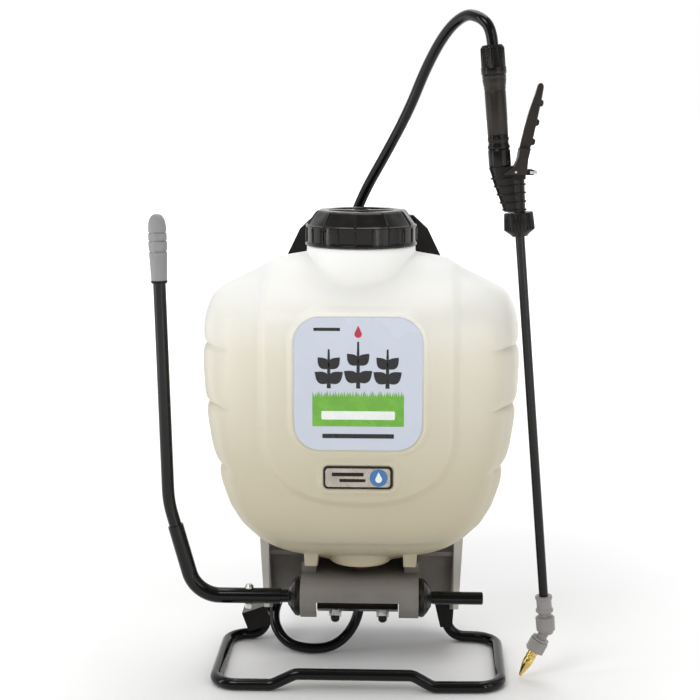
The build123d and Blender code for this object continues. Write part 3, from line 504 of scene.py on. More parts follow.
def box_distance(x, z, middle_z, half_x, half_z, corner):
    """Distance outside a rounded rectangle, negative inside it."""
    dx = np.abs(x) - (half_x - corner)
    dz = np.abs(z - middle_z) - (half_z - corner)
    outside = np.hypot(np.maximum(dx, 0), np.maximum(dz, 0))
    return outside + np.minimum(np.maximum(dx, dz), 0) - corner


def raised_pad(y, distance, face, rim):
    """Flat pad behind a plate, with a rounded rim round it that runs out into the wall."""
    rim_y = face - rim
    near = 1 - ease(distance, 2.2, 9.0)
    out = y * (1 - near) + np.minimum(y, rim_y) * near
    inside = 1 - ease(distance, 0.2, 1.4)
    return out * (1 - inside) + face * inside


def tank_ring(z, inset=0.0, detail=True):
    """Section of the tank at a height. The plain inner skin leaves the detail out."""
    half = soft_value(HALF_WIDTHS, z, WIDTH_SPREAD) - inset
    front = soft_value(FRONT_REACH, z, REACH_SPREAD) - inset
    back = soft_value(BACK_REACH, z, REACH_SPREAD) - inset
    reach = np.where(SIN < 0, front, back)
    radius = (np.abs(COS / half) ** SQUARENESS + np.abs(SIN / reach) ** SQUARENESS) ** (-1 / SQUARENESS)
    if z > NECK_FOOT:
        # The shoulders flow into the round neck.
        neck = NECK_R - inset
        blend = 3.0
        high = np.maximum(radius, neck)
        flow = np.log(np.exp((radius - high) / blend) + np.exp((neck - high) / blend))
        radius = high + blend * flow * ease(z, NECK_FOOT, NECK_FOOT + 25)
        radius = np.minimum(radius, np.maximum(high, neck) + 2)
    if z < SUMP_TOP:
        # The sump is a round well about the pump's axis that stands out below the tank's floor.
        well = SUMP_R - inset
        across = PUMP_Y * SIN
        sump = across + np.sqrt(np.maximum(well * well - (PUMP_Y * COS) ** 2, 1))
        radius = np.maximum(radius, sump)
    x, y = radius * COS, radius * SIN
    if detail:
        x, y = lobed(x, y, z, half, reach)
        y = padded_face(x, y, z)
    return [at(float(a), float(b), z) for a, b in zip(x, y)]


def lobed(x, y, z, half, reach):
    """Sink the side lobes behind the front panel, and cut the notches into their edges."""
    nx = np.sign(x) * np.abs(x / half) ** (SQUARENESS - 1) / half
    ny = np.sign(y) * np.abs(y / reach) ** (SQUARENESS - 1) / reach
    size = np.hypot(nx, ny)
    nx, ny = nx / size, ny / size
    facing = np.maximum(ease(-y, 12, 50), ease(z, 424, 442))
    if z >= PANEL_BEND_Z:
        beyond = np.abs(x) - PANEL_X
    else:
        low = (PANEL_BEND_Z - z) / (PANEL_BEND_Z - PANEL_FOOT_Z)
        round_foot = ((np.abs(x) / PANEL_X) ** PANEL_CORNER + low ** PANEL_CORNER) ** (1 / PANEL_CORNER)
        beyond = round_foot * 87 - 87
    lobe = ease(beyond, 0, PANEL_EDGE)
    fade = 1 - ease(z, 456, 466)
    low_fade = ease(z, 132, 165)
    push = -PANEL_STEP * lobe * facing * fade * low_fade
    for level, depth, width in NOTCHES:
        push = push - depth * np.exp(-abs(z - level) / width * 1.3) * ease(np.abs(x), 138, 168)
    return x + nx * push, y + ny * push


def padded_face(x, y, z):
    """Raise the pads that the label and the badge sit on."""
    front_face = y < -40
    label = box_distance(x, z, LABEL_Z, LABEL_HALF_X + 0.4, LABEL_HALF_Z + 0.4, LABEL_CORNER + 0.4)
    badge = box_distance(x, z, BADGE_Z, 37.3, 12.8, 5.3)
    if -80 < z - LABEL_Z < 85:
        y = np.where(front_face & (label < 10), raised_pad(y, label, LABEL_FACE, 1.1), y)
    if abs(z - BADGE_Z) < 24:
        y = np.where(front_face & (badge < 10), raised_pad(y, badge, BADGE_FACE, 0.9), y)
    return y


def round_ring(z, radius, y=0.0):
    return [at(radius * float(c), y + radius * float(s), z) for c, s in zip(COS, SIN)]


SUMP_FOOT = [(121.5, 9.6), (120.5, 10.5), (120.5, 33.5), (120.9, 34.8), (122, 35.7), (124, 36)]
SPOUT = [
    (470.5, 60.2), (474, 60), (477, 59.9), (478, 59.2), (478.3, 58), (478.3, 55),
    (478.8, SPOUT_R), (489, SPOUT_R), (499, SPOUT_R), (SPOUT_TOP, SPOUT_R - 0.8),
]
SPOUT_INSIDE = [(SPOUT_TOP, SPOUT_BORE + 0.8), (499, SPOUT_BORE), (480, SPOUT_BORE), (468, SPOUT_BORE)]
# The side lobes and the notches go deeper than the wall, so the plain inner skin stays well inside them.
INNER_ROWS = [(455, 8.0), (445, 11.0)]
INNER_ROWS += [(z, 13.0) for z in (435, 425, 410, 380, 330, 280, 230, 190)]
INNER_ROWS += [(170, 9.0), (155, 5.0), (140, WALL), (132, WALL)]
SUMP_FLOOR = [(129, 30), (128.8, 9.6)]

outer = [round_ring(z, radius, PUMP_Y) for z, radius in SUMP_FOOT]
for start, end in ((125.5, 190), (190, 425), (425, NECK_TOP)):
    outer += [tank_ring(float(z)) for z in np.arange(start, end, RING_STEP)]
outer += [round_ring(z, radius) for z, radius in SPOUT]
inner = [round_ring(z, radius) for z, radius in SPOUT_INSIDE]
inner += [tank_ring(float(z), inset, False) for z, inset in INNER_ROWS]
inner += [round_ring(z, radius, PUMP_Y) for z, radius in SUMP_FLOOR]
new_piece(
    "tank", rings_mesh("tank", outer + inner, closed=True), TANK, slot="tank_plastic", replaces=["tank_shell"],
    angle=60,
)

LUG_HALF_X, LUG_FRONT, LUG_BACK = 7.2, -41, -8
for word, x in (("left", -54.5), ("right", 56.0)):
    rings = []
    for z, grow in ((120.0, -0.6), (121.0, 0.0), (128.0, 0.3), (134.0, 0.8), (140.0, 1.6)):
        outline = [(-LUG_HALF_X, LUG_FRONT), (LUG_HALF_X, LUG_FRONT), (LUG_HALF_X, LUG_BACK), (-LUG_HALF_X, LUG_BACK)]
        rings.append([at(x + a + math.copysign(grow, a), y + (-grow if y < -20 else grow), z) for a, y in outline])
    new_piece(f"tank_lug_{word}", rings_mesh("lug", rings), TANK, slot="tank_plastic", bevel=0.0014)

# ---------------------------------------------------------------- label and badge, with plain shapes only
PLATE_FRONT = -99.0
plate(
    "label_plate", rounded_rect(0, LABEL_Z, LABEL_HALF_X, LABEL_HALF_Z, LABEL_CORNER, 14), PLATE_FRONT, -98.2,
    LABEL_FILM, slot="label", replaces=["front_label"], bevel=0.0003,
)
INK_BACK, INK_FRONT = -98.9, -99.12  # the ink stands a hair proud of the film


def ink(name, outline, look, lift=0.0):
    return plate(name, outline, INK_FRONT - lift, INK_BACK - lift, look, slot="label")


def jagged_band():
    """Band whose top edge is cut into blades of grass."""
    low, high, half = 294.0, 326.0, 48.5
    points = [(-half, low), (half, low), (half, high)]
    blades = 44
    for i in range(blades):
        x = half - 2 * half * (i + 0.5) / blades
        tall = 3.0 + 2.6 * abs(math.sin(i * 2.4)) + 1.5 * abs(math.sin(i * 0.9 + 1))
        lean = 1.1 * math.sin(i * 1.7)
        points += [(x + half / blades, high), (x + lean, high + tall), (x - half / blades + 0.05, high)]
    points.append((-half, high))
    return points


def leaf(x, z, length, width, turn, steps=12):
    """Pointed leaf that starts at (x, z)."""
    c, s = math.cos(math.radians(turn)), math.sin(math.radians(turn))
    right = [(length * i / steps, width * math.sin(math.pi * (i / steps) ** 0.85)) for i in range(steps + 1)]
    left = [(a, -b) for a, b in reversed(right[1:-1])]
    return [(x + a * c - b * s, z + a * s + b * c) for a, b in right + left]


def drop(x, z, radius, tall, steps=18):
    """Round drop with its point up."""
    points = []
    for i in range(steps):
        turn = math.radians(-210 + 240 * i / (steps - 1))
        points.append((x + radius * math.cos(turn), z + radius * math.sin(turn)))
    points.append((x, z + tall))
    return points


ink("label_band", jagged_band(), LABEL_GREEN)
ink("label_bar_light", rounded_rect(0, 306, 39, 4.6, 1.4, 4), LABEL_WHITE, 0.12)
ink("label_bar_dark", rounded_rect(0, 283.5, 38, 2.4, 0.8, 4), LABEL_INK)
ink("label_bar_top", rounded_rect(-33, 398, 14, 1.7, 0.6, 4), LABEL_INK)
for number, (x, tall) in enumerate(((-31, 42), (0, 50), (31, 42))):
    foot = 335.0
    ink(
        f"label_stem_{number}", [(x - 2.2, foot), (x + 2.2, foot), (x + 1.0, foot + tall), (x - 1.0, foot + tall)],
        LABEL_INK,
    )
    for side, turn in ((1, 38), (-1, 142)):
        ink(f"label_leaf_{number}_{'rl'[side < 0]}", leaf(x, foot + tall * 0.14, 19, 6.6, turn), LABEL_INK, 0.02)
        ink(
            f"label_top_{number}_{'rl'[side < 0]}", leaf(x, foot + tall * 0.50, 17, 5.8, turn + side * 8), LABEL_INK,
            0.04,
        )
ink("label_drop", drop(0, 393, 3.9, 9.5), LABEL_RED)

plate(
    "badge", rounded_rect(0, BADGE_Z, 37, 12.5, 5, 8), PLATE_FRONT, -97.4, BLACK_PLASTIC, slot="badge",
    replaces=["badge_plate"], bevel=0.0005,
)
plate(
    "badge_face", rounded_rect(-0.3, BADGE_Z, 34.6, 10.2, 3.6, 8), -99.25, -98.9, BADGE_METAL, slot="badge",
    bevel=0.0002,
)
plate("badge_bar_upper", rounded_rect(-11, 241.6, 17, 2.0, 0.8, 4), -99.4, -99.1, BLACK_PLASTIC, slot="badge")
plate("badge_bar_lower", rounded_rect(-6, 235.0, 14, 1.7, 0.7, 4), -99.4, -99.1, BLACK_PLASTIC, slot="badge")
plate("badge_disc", rounded_rect(22, BADGE_Z, 9.6, 9.6, 9.59, 10), -99.5, -99.1, BADGE_BLUE, slot="badge", bevel=0.0002)
plate("badge_drop", drop(22, 236.4, 3.6, 8.2), -99.65, -99.4, LABEL_WHITE, slot="badge")

# ---------------------------------------------------------------- cap
RIBS, TOP_RIBS = 20, 10
DOUBLE_RIBS = (3, 8, 13, 18)
RIB_TURN, RIB_HALF, RIB_HEIGHT = 4.5, 0.85, 1.4


def cap_relief(turn, height, radius):
    """Grip ribs on the cap's skirt, four of them doubled, and ten ribs up its slope."""
    if radius < 45:
        return 0
    extra = 0.0
    if 481.5 < height < 498.8 and radius > 58:
        extra += RIB_HEIGHT * pulse(turn + RIB_TURN, 360 / RIBS, RIB_HALF)
        number = round((turn + RIB_TURN) / (360 / RIBS)) % RIBS
        if number in DOUBLE_RIBS:
            off = turn + RIB_TURN - number * 360 / RIBS
            extra = max(extra, RIB_HEIGHT * max(0.0, min(1.0, (RIB_HALF - abs(off - 2.9)) / 0.34)))
    if 501 < height < 516.6:
        # The slope between the top ribs is hollowed a little, more towards the top.
        hollow = 0.5 - 0.5 * math.cos(math.radians(turn + RIB_TURN) * TOP_RIBS)
        extra += 1.2 * pulse(turn + RIB_TURN, 360 / TOP_RIBS, 1.5)
        extra -= 1.5 * hollow * min(1, (height - 501) / 10)
    return extra


cap_profile = [
    (504, 8.0), (504, 54.6), (479.2, 54.6), (478.6, 55.4), (478.5, 60.0), (478.8, 61.6), (480.4, 61.8), (480.8, 61.0),
    (481.4, 60.6), (499.0, 60.6), (499.5, 61.2), (500.3, 61.0), (500.8, 59.4), (505, 56.6), (512.2, 51.6),
    (514.6, 49.8), (516.2, 47.6), (516.5, 45.5), (516.5, 37), (516.0, 35.6), (511, 34.4), (510.5, 33.8), (510.5, 8.0),
]
turned("cap", at(0, 0, 0), (0, 0, 1), cap_profile, CAP_PLASTIC, cap_relief, segments=720, step=2.5, closed=True,
       body="cap", slot="black_plastic", replaces=["filler_cap"], angle=50)
turned(
    "cap_hub", at(0, 0, 0), (0, 0, 1),
    [(510, 8.1), (510, 13.5), (512, 12.6), (516, 12.2), (516.4, 11.6), (516.4, 8.6), (516, 8.1)], CAP_PLASTIC,
    closed=True, body="cap", slot="black_plastic", bevel=0.0002,
)
for side, word in ((-1, "left"), (1, "right")):
    ends = sorted((side * 11.0, side * 34.6))
    corners = [(ends[0], -6), (ends[1], -6), (ends[1], 6), (ends[0], 6)]
    low = [at(x, y, 510) for x, y in corners]
    high = [at(x, y * 0.86, 516.4) for x, y in corners]
    new_piece(
        f"cap_bar_{word}", rings_mesh("bar", [low, high]), CAP_PLASTIC, body="cap", slot="black_plastic", bevel=0.0012,
    )

# ---------------------------------------------------------------- lever grip
SHAFT_Y, SHAFT_Z = -40, 85
ELBOW = Vector((-184.6, SHAFT_Y, SHAFT_Z))
UPRIGHT = Vector((-21.5, 0, 80)).normalized()
BEND = ELBOW + UPRIGHT * 112
GRIP_TOP = Vector((-219.9, SHAFT_Y, 505))
GRIP_UP = (GRIP_TOP - BEND).normalized()
GRIP_FOOT = GRIP_TOP - GRIP_UP * 66
GROOVES = (34.5, 46.0, 55.0)
GROOVE_DEPTH = 1.5


def grip_relief(turn, height, radius):
    """Three grooves round the grip, each broken by four bridges."""
    if radius < 7.5:
        return 0
    cut = sum(max(0.0, 1 - abs(height - level) / 1.1) for level in GROOVES)
    bridge = pulse(turn + 20, 90, 9)
    return -GROOVE_DEPTH * cut * (1 - bridge)


turned(
    "lever_grip_sleeve", at(*GRIP_FOOT), GRIP_UP,
    [
        (0, 7.05), (0, 8.1), (2, 8.7), (30, 9.8), (44, 10.3), (60, 9.9), (66, 9.3), (70, 8.0), (73, 6.0), (74.6, 3.6),
        (75, 0.4),
    ],
    GRIP_GREY, grip_relief, segments=96, step=0.55, body="lever", slot="light_grey_plastic", replaces=["lever_grip"],
    angle=50,
)
turned(
    "lever_grip_lip", at(*GRIP_FOOT), GRIP_UP,
    [(-0.4, 7.1), (-0.4, 8.2), (0.3, 8.9), (2.2, 9.1), (3.0, 8.7), (3.0, 7.1)], BLACK_PLASTIC, closed=True,
    body="lever", slot="black_plastic",
)

# Black thread ends of the two yoke bolts, below their nuts.
NUT_TURN = math.radians(242)
BOLT_PLACES = (-27.0, 26.0)
BOLT_DOWN = Vector((0, math.cos(NUT_TURN), math.sin(NUT_TURN)))
for number, x in enumerate(BOLT_PLACES):
    turned(
        f"bolt_end_{number}", at(x, SHAFT_Y, SHAFT_Z), BOLT_DOWN,
        [
            (22, 3.05), (22, 4.6), (22.8, 4.9), (25.4, 4.7), (27.0, 3.9), (28.2, 2.2), (28.4, 0.3), (27.4, 0.3),
            (27.1, 3.05),
        ],
        BLACK_PLASTIC, ribbed(60, 20, 0.4, 22.5, 26), segments=48, closed=True, body="lever", slot="black_plastic",
    )

# ---------------------------------------------------------------- handle
WAND_Y = -60
HANDLE_LEAN, HANDLE_X = 0.083, 147.9
HANDLE_UP = Vector((-HANDLE_LEAN, 0, 1)).normalized()
HANDLE_FOOT = at(HANDLE_X, WAND_Y, 565)
handle = {
    "hose_nut": (
        [
            (96, 6.1), (96, 12.2), (96.6, 12.8), (98, 13.2), (103.5, 13.2), (104.6, 12.8), (105, 12.5), (123.5, 11.7),
            (125.5, 11.2), (126.9, 10.2), (126.9, 6.1),
        ],
        ribbed(15, 3.4, 0.75, 105.2, 124.0), BLACK_PLASTIC, "black_plastic",
    ),
    "grip_top_collar": (
        [
            (80, 6.2), (80, 11.0), (83, 11.4), (84, 11.2), (85, 11.6), (91.5, 12.4), (92.3, 12.1), (93.2, 12.5),
            (95.6, 12.4), (96, 12.0), (96, 6.2),
        ],
        None, SLEEVE, "grip_plastic",
    ),
    "grip_sleeve": (
        [(34.5, 7.05), (34.5, 10.5), (35.2, 10.9), (79.2, 11.1), (80, 10.7), (80, 7.05)], None, SLEEVE, "grip_plastic",
    ),
    "grip_lower_collar": (
        [
            (20, 6.2), (20, 11.5), (20.8, 11.8), (22.2, 11.8), (25, 10.7), (27.5, 10.7), (28.5, 11.3), (31, 11.3),
            (31.8, 10.8), (34.5, 10.9), (34.5, 6.2),
        ],
        None, BLACK_PLASTIC, "grip_plastic",
    ),
    "handle_nut": (
        [(1.4, 5.2), (1.4, 10.8), (2.2, 11.6), (3, 11.7), (17.2, 11.7), (18.6, 11.4), (20, 10.6), (20, 5.2)],
        ribbed(18, 3.2, 0.6, 3.1, 17.0), BLACK_PLASTIC, "black_plastic",
    ),
}
for name, (profile, relief, look, slot_name) in handle.items():
    turned(
        f"{name}_shape", HANDLE_FOOT, HANDLE_UP, profile, look, relief, segments=192, closed=True, slot=slot_name,
        replaces=[name], bevel=0.0002, angle=40,
    )

PIVOT_X, PIVOT_Z = 163.5, 561.0


def from_pivot(points):
    """Outline given from the trigger's pivot, as (x, z) in millimetres."""
    return [(PIVOT_X + x, PIVOT_Z + z) for x, z in points]


def disc_outline(x, z, radius, steps=32):
    turns = [2 * math.pi * i / steps for i in range(steps)]
    return [(x + radius * math.cos(turn), z + radius * math.sin(turn)) for turn in turns]


# Valve body: an oval cone with five thin hoops that lean a little, walls above for the pin, and a neck under the nut.
VALVE_HALF_Y, VALVE_FOOT, WALL_FOOT = 11.2, 519, 553
HOOPS = [(520.8, 521.6), (528.1, 530.4), (536.6, 539.4), (545.1, 548.1), (553.4, 556.3)]  # height on the left, right
HOOP_EDGE = [(-0.9, 0), (-0.8, 1.3), (0.5, 1.4), (0.8, 1.2), (0.9, 0)]  # height from the hoop's middle, how far out


def valve_left(z):
    """Where the cone's left edge is at a height."""
    return 135.9 + (562.6 - z) * 0.384


def valve_right(z):
    """Where the cone's right edge is at a height."""
    return 173.6 + (554 - z) * 0.054


def valve_ring(left_z, right_z, grow, steps=72):
    """Oval ring in a plane that leans from left_z to right_z."""
    left, right = valve_left(left_z) - grow, valve_right(right_z) + grow
    half_y = VALVE_HALF_Y + grow * 0.7
    middle = Vector(((left + right) / 2, WAND_Y, (left_z + right_z) / 2))
    reach = Vector(((right - left) / 2, 0, (right_z - left_z) / 2))
    ring = []
    for i in range(steps):
        turn = 2 * math.pi * i / steps
        place = middle + reach * math.cos(turn) + Vector((0, half_y, 0)) * math.sin(turn)
        ring.append(at(*place))
    return ring


def neck_ring(left, height, steps=32):
    """Half round that ends flat at the trigger's slot. height gives each point's height from its x."""
    ring = []
    for i in range(steps + 1):
        turn = math.radians(90 + 180 * i / steps)
        x = NECK_SLOT + (NECK_SLOT - left) * math.cos(turn)
        ring.append(at(x, WAND_Y + WALL_OUT * math.sin(turn), height(x)))
    return ring


def both_sides(outer_y, inner_y):
    """Words and depths for two pieces that lie alike on either side of the wand's axis."""
    return [("front", WAND_Y - outer_y, WAND_Y - inner_y), ("back", WAND_Y + inner_y, WAND_Y + outer_y)]


valve_rings = [valve_ring(VALVE_FOOT, VALVE_FOOT, 0)]
for left_z, right_z in HOOPS:
    valve_rings += [valve_ring(left_z + up, right_z + up, grow) for up, grow in HOOP_EDGE]
new_piece(
    "valve_shape", rings_mesh("valve_shape", valve_rings), BLACK_PLASTIC, slot="black_plastic", replaces=["valve_body"],
    angle=35,
)

NECK_SLOT, WALL_OUT, SLOT_HALF = 151, 11.3, 5.4
neck = [
    neck_ring(valve_left(WALL_FOOT) + 0.6, lambda x: WALL_FOOT),
    neck_ring(135.7, lambda x: 566.3 + (x - 147.8) * HANDLE_LEAN),
]
new_piece("valve_neck", rings_mesh("valve_neck", neck), BLACK_PLASTIC, slot="black_plastic", bevel=0.0004)
wall_outline = [
    (150.4, WALL_FOOT), (174.2, WALL_FOOT + 0.4), (174.0, 562.4), (170.4, 565.6), (164, 567.2), (158.4, 567.1),
    (150.4, 566.4),
]
lug_outline = [(173, 557.6), (182, 557.6), (183, 558.6), (183, 562.4), (182, 563.4), (173, 563.4)]
for (word, *wall), (_, *lug) in zip(both_sides(WALL_OUT, SLOT_HALF), both_sides(9.0, SLOT_HALF)):
    plate(f"valve_wall_{word}", wall_outline, *wall, BLACK_PLASTIC, slot="black_plastic", bevel=0.0006)
    plate(f"valve_lug_{word}", lug_outline, *lug, BLACK_PLASTIC, slot="black_plastic", bevel=0.0004)

in_grip = dict(look=SLEEVE, body="trigger_lever", slot="grip_plastic")
trigger_outline = from_pivot(
    [
        (-5, -1.6), (11, -1.6), (12.1, 4.9), (12.8, 13.3), (15.5, 25), (18.6, 37), (22.6, 57), (26.5, 77.4), (28, 87),
        (27.7, 89.5), (26.1, 91.6), (23.8, 91.6), (22.1, 89.5), (19.6, 80.8), (13.8, 63.9), (9.2, 47.3), (3.8, 23.5),
        (1.9, 12.2), (-0.4, 6.9), (-5, 2.4),
    ]
)
plate("trigger_shape", trigger_outline, -65, -55, replaces=["trigger"], bevel=0.0014, **in_grip)
fork_outline = from_pivot([(2.3, 13.2), (12.4, 13.2), (14.9, 24.0), (4.3, 24.0)])
plate("trigger_fork", fork_outline, -73.6, -46.4, bevel=0.0012, **in_grip)
cheek_outline = from_pivot(
    [
        (-12.4, -3.0), (10.9, -3.0), (12.1, 4.9), (12.7, 13.3), (15.2, 24.4), (4.0, 24.4), (1.9, 12.2), (-0.4, 6.9),
        (-12.4, -1.6),
    ]
)
for word, front, back in both_sides(14.2, 12.7):
    plate(f"trigger_cheek_{word}", cheek_outline, front, back, bevel=0.0004, **in_grip)
plate(
    "trigger_pin_shape", disc_outline(PIVOT_X, PIVOT_Z, 1.25), -74.6, -45.4, ZINC, slot="zinc",
    replaces=["trigger_pin"], bevel=0.0002,
)
NUB = [(-4.6, -2.5), (4.6, -2.5), (2.8, 1.4), (1.2, 2.0), (-1.2, 2.0), (-2.8, 1.4)]  # along the trigger, and out of it
for number, (x, z, turn) in enumerate(((26.0, 70.8, 80), (22.2, 50.8, 79), (18.3, 30.8, 76))):
    along = Vector((math.cos(math.radians(turn)), math.sin(math.radians(turn))))
    out = Vector((along.y, -along.x))
    rim = [Vector((x, z)) + along * a + out * b for a, b in NUB]
    plate(f"trigger_nub_{number}", from_pivot([tuple(p) for p in rim]), -64.4, -55.6, bevel=0.0006, **in_grip)

WAND_LEAN, SPRAY_LEAN = 0.0848, 27
WAND_UP = Vector((-WAND_LEAN, 0, 1)).normalized()


def wand_point(z):
    """Point on the wand's leaning axis at a height."""
    return at(172.2 + (467.7 - z) * WAND_LEAN, WAND_Y, z)


turned(
    "wand_nut_shape", wand_point(515), WAND_UP,
    [
        (-22, 5.1), (-22, 8.2), (-21.4, 8.7), (-19.5, 10.5), (-16.6, 14.4), (-15.8, 15.0), (-14.8, 15.2), (2.4, 15.4),
        (3.3, 14.8), (3.3, 5.1),
    ],
    BLACK_PLASTIC, ribbed(15, 3.0, 1.1, -14.9, 2.0), segments=240, closed=True, slot="black_plastic",
    replaces=["wand_nut"], bevel=0.0002, angle=40,
)
turned(
    "collar_shape", wand_point(96), WAND_UP,
    [
        (-26, 3.1), (-26, 6.8), (-19.4, 6.9), (-18.4, 9.0), (-17.8, 9.6), (-15.2, 9.6), (-14.6, 9.0), (-14, 8.3),
        (-5, 8.3), (-4, 8.8), (-2.9, 9.4), (-0.6, 9.4), (0, 8.9), (0, 5.1), (-14, 5.1), (-14, 3.1),
    ],
    LIGHT_GREY, ribbed(30, 4, -0.5, -13.6, -5.2), segments=144, closed=True, slot="light_grey_plastic",
    replaces=["nozzle_collar"], bevel=0.0002, angle=40,
)
SPRAY_DOWN = Vector((-math.sin(math.radians(SPRAY_LEAN)), 0, -math.cos(math.radians(SPRAY_LEAN))))
turned(
    "brass_tip", wand_point(57), SPRAY_DOWN,
    [
        (28, 5.0), (28.4, 5.6), (31, 5.7), (31.4, 5.2), (32.2, 5.2), (32.6, 5.7), (36, 5.7), (36.4, 5.3), (37.2, 5.3),
        (37.6, 5.6), (44, 5.5), (46, 5.0), (55.6, 2.7), (57.6, 2.2), (60.2, 1.7), (61, 1.2), (61, 0.6), (58, 2.0),
        (28, 2),
    ],
    BRASS, ribbed(15, 3, 0.25, 38, 43.6), segments=144, closed=True, body="nozzle", slot="brass",
    replaces=["brass_nozzle"], bevel=0.00015, angle=40,
)


# ---------------------------------------------------------------- pads and straps
def ribbon_tube(name, points, radius, look, **options):
    """Thin round cord along points given in metres, as a mesh."""
    data = bpy.data.curves.new(name, "CURVE")
    data.dimensions = "3D"
    data.bevel_depth = radius / 1000
    data.bevel_resolution = 3
    data.resolution_u = 4
    run = data.splines.new("NURBS")
    run.points.add(len(points) - 1)
    for point, place in zip(run.points, points):
        point.co = (*place, 1)
    run.order_u = 3
    run.use_endpoint_u = True
    curve = bpy.data.objects.new(name + "_line", data)
    scene.collection.objects.link(curve)
    bpy.context.view_layer.update()
    shape = bpy.data.meshes.new_from_object(curve.evaluated_get(bpy.context.evaluated_depsgraph_get()))
    bpy.data.objects.remove(curve)
    return new_piece(name, shape, look, angle=80, **options)


def pad_arc(share):
    """Middle line of a shoulder pad: depth and height in millimetres, and its thickness."""
    y = 112 + 10.0 * math.sin(math.pi * min(1, share * 0.9)) * 1.9 + 9.5 * share
    z = 432 - 146 * share
    thick = 6.0 + 1.2 * math.sin(math.pi * share)
    return y, z, thick


def shoulder_pad(side, word):
    """Quilted pad that follows pad_arc, with piping along both long edges."""
    middle_x, half = side * 60.0, 27.0
    rows, around = 90, 40
    edges = {-1: [], 1: []}
    rings = []
    for row in range(rows + 1):
        share = row / rows
        y, z, thick = pad_arc(share)
        y1, z1, _ = pad_arc(min(1, share + 0.01))
        y0, z0, _ = pad_arc(max(0, share - 0.01))
        along = Vector((y1 - y0, z1 - z0)).normalized()
        normal = Vector((-along.y, along.x))
        if normal.x < 0:
            normal = -normal
        end = min(share, 1 - share)
        taper = (1 - (1 - min(1, end / 0.09)) ** 2.4) ** (1 / 2.4)
        channel = 1 - 0.34 * math.exp(-(((share * 146 + 14) % 28 - 14) / 2.4) ** 2)
        narrow = 1 - 0.05 * math.cos(2 * math.pi * share)
        ring = []
        for i in range(around):
            turn = 2 * math.pi * i / around
            c, s = math.cos(turn), math.sin(turn)
            u = math.copysign(abs(c) ** 0.55, c) * half * narrow * (0.72 + 0.28 * taper)
            v = math.copysign(abs(s) ** 0.8, s) * thick * channel * (0.15 + 0.85 * taper)
            ring.append(at(middle_x + u, y + 3 + normal.x * v, z + normal.y * v))
        rings.append(ring)
        for edge in (-1, 1):
            if row % 6 == 0:
                u = edge * half * narrow * (0.72 + 0.28 * taper)
                edges[edge].append(at(middle_x + u, y + 3, z))
    pad = new_piece(
        f"pad_{word}", rings_mesh("pad", rings), PAD_CLOTH, slot="pad_foam", replaces=[f"shoulder_pad_{word}"],
        angle=80,
    )
    for edge, points in edges.items():
        ribbon_tube(f"pad_{word}_piping_{'in' if edge == -side else 'out'}", points, 1.1, PIPING, slot="pad_foam")


def crowned_pad():
    """Lumbar pad: flat behind, crowned in front, with two sewn channels each way."""
    half, depth, count = 47.0, 20.0, 72
    vertices, faces = [], []
    for back in (False, True):
        for i in range(count + 1):
            for j in range(count + 1):
                u, v = 2 * i / count - 1, 2 * j / count - 1
                pull = 1 - 0.035 * (1 - min(abs(u), abs(v)) ** 2)
                cu = u * math.sqrt(1 - 0.20 * v * v * u * u)
                cv = v * math.sqrt(1 - 0.20 * u * u * v * v)
                crown = max(0.0, (1 - abs(u) ** 4)) ** 0.42 * max(0.0, (1 - abs(v) ** 4)) ** 0.42
                sewn = sum(math.exp(-((w - seam) * half / 1.8) ** 2) for seam in (-0.36, 0.36) for w in (u, v))
                if back:
                    lift = 3.0 - 2.9 * min(1, crown * 3)
                else:
                    lift = 3.0 + depth * 0.82 * crown * (1 - 0.20 * min(1.0, sewn))
                vertices.append(at(cu * half * pull, 112.1 + lift, 190 + cv * half * pull))
    line = count + 1
    for back in (0, 1):
        for i in range(count):
            for j in range(count):
                first = back * line * line + i * line + j
                faces.append((first, first + 1, first + line + 1, first + line))
    pad = new_piece(
        "lumbar_cushion", mesh_of("lumbar", vertices, faces), PAD_CLOTH, slot="pad_foam", replaces=["lumbar_pad"],
        angle=80,
    )
    rim = []
    for turn in range(0, 361, 12):
        c, s = math.cos(math.radians(turn)), math.sin(math.radians(turn))
        rim.append(at(math.copysign(abs(c) ** 0.32, c) * 46.2, 115.1, 190 + math.copysign(abs(s) ** 0.32, s) * 46.2))
    ribbon_tube("lumbar_piping", rim, 1.3, PIPING, slot="pad_foam")


def web_strap(side, word):
    """Flat webbing from the pad's buckle down to the frame, with a folded hem at its foot."""
    rows, half = 40, 12.5
    edge = half * 0.97
    rings = []
    for row in range(rows + 1):
        share = row / rows
        middle = 60 + 26.5 * share
        z = 262 - 148 * share
        bow = 1.2 * math.sin(math.pi * share)
        thick = 0.75 + (0.55 if share > 0.86 else 0) + (0.4 if share < 0.05 else 0)
        outline = [(-half, -thick), (-edge, -thick * 1.2), (edge, -thick * 1.2), (half, -thick)]
        outline += [(half, thick), (edge, thick * 1.2), (-edge, thick * 1.2), (-half, thick)]
        rings.append([at(side * (middle + x), 119 + bow + y, z) for x, y in outline])
    new_piece(
        f"web_{word}", rings_mesh("web", rings), WEB_CLOTH, slot="webbing", replaces=[f"shoulder_web_{word}"], angle=40,
    )


for side, word in ((-1, "left"), (1, "right")):
    shoulder_pad(side, word)
    web_strap(side, word)
crowned_pad()

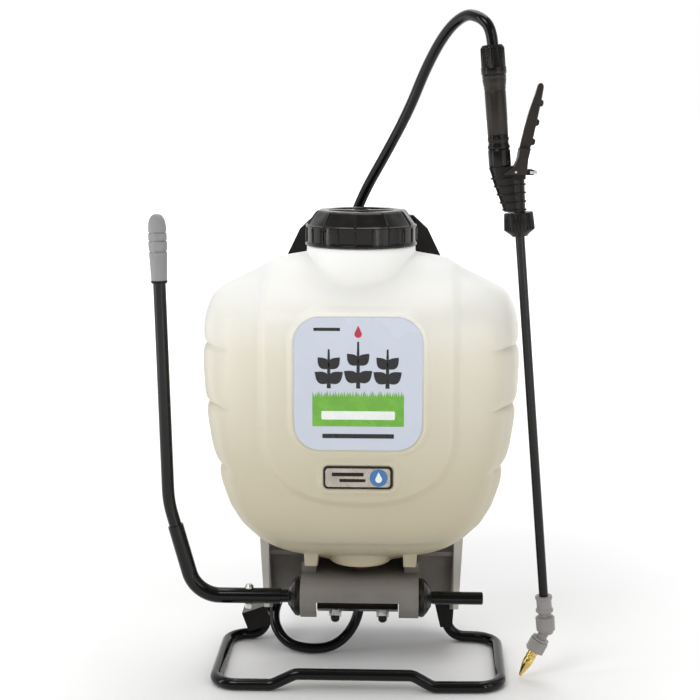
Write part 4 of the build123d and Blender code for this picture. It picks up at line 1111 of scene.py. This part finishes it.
# ---------------------------------------------------------------- looks of the CAD pieces that stay
kept_looks = {
    "black_paint": BLACK_TUBE, "black_plastic": BLACK_PLASTIC, "base_plastic": BASE_WITH_LIT_EDGES, "light_grey_plastic": LIGHT_GREY,
    "grip_plastic": SLEEVE, "pump_plastic": PUMP_WHITE, "zinc": ZINC, "steel": STEEL, "brass": BRASS,
    "seal_rubber": SEAL, "hose_rubber": HOSE_RUBBER, "label": LABEL_FILM, "badge": BADGE_METAL, "pad_foam": PAD_CLOTH,
    "webbing": WEB_CLOTH, "tank_plastic": TANK,
}
for part in frame["record"]["subparts"]:
    paint(nodes[part["node"]], kept_looks[part["material_slot"]])

# ---------------------------------------------------------------- floor and light
floor_mesh = mesh_of("floor", [(-30, -20, 0), (30, -20, 0), (30, 60, 0), (-30, 60, 0)], [(0, 1, 2, 3)])
floor = bpy.data.objects.new("floor", floor_mesh)
scene.collection.objects.link(floor)
paint(floor, floor_material())
floor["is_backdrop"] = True


def area_light(name, place, target, size, power, size_y=None):
    data = bpy.data.lights.new(name, "AREA")
    data.energy = power
    data.size = size
    if size_y:
        data.shape = "RECTANGLE"
        data.size_y = size_y
    lamp = bpy.data.objects.new(name, data)
    lamp.location = place
    lamp.rotation_euler = (Vector(target) - Vector(place)).to_track_quat("-Z", "Y").to_euler()
    scene.collection.objects.link(lamp)


area_light("key", (-0.9, -1.6, 2.1), (0, 0, 0.35), 1.0, 18)
area_light("fill", (1.7, -1.2, 1.0), (0, 0, 0.35), 0.6, 5, 1.6)
area_light("line", (1.15, -1.65, 0.75), (0, 0, 0.4), 0.10, 5, 1.7)
area_light("over", (0.1, 0.5, 2.2), (0, 0, 0.4), 1.4, 15)
area_light("strip", (-1.6, -0.5, 0.7), (0, 0, 0.4), 0.22, 5, 1.4)
world = bpy.data.worlds.new("studio")
world.use_nodes = True
sky = world.node_tree
toward = add_node(
    sky, "ShaderNodeSeparateXYZ", {"Vector": add_node(sky, "ShaderNodeTexCoord").outputs["Generated"]},
).outputs["Y"]
bright = add_node(
    sky, "ShaderNodeMapRange", {"Value": toward, "From Min": -0.5, "From Max": 0.6, "To Min": 0.16, "To Max": 1.0},
).outputs["Result"]
sky.links.new(bright, sky.nodes["Background"].inputs["Strength"])
sky.nodes["Background"].inputs["Color"].default_value = (1, 1, 1, 1)
scene.world = world
scene.view_settings.view_transform = "Standard"

low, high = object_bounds()
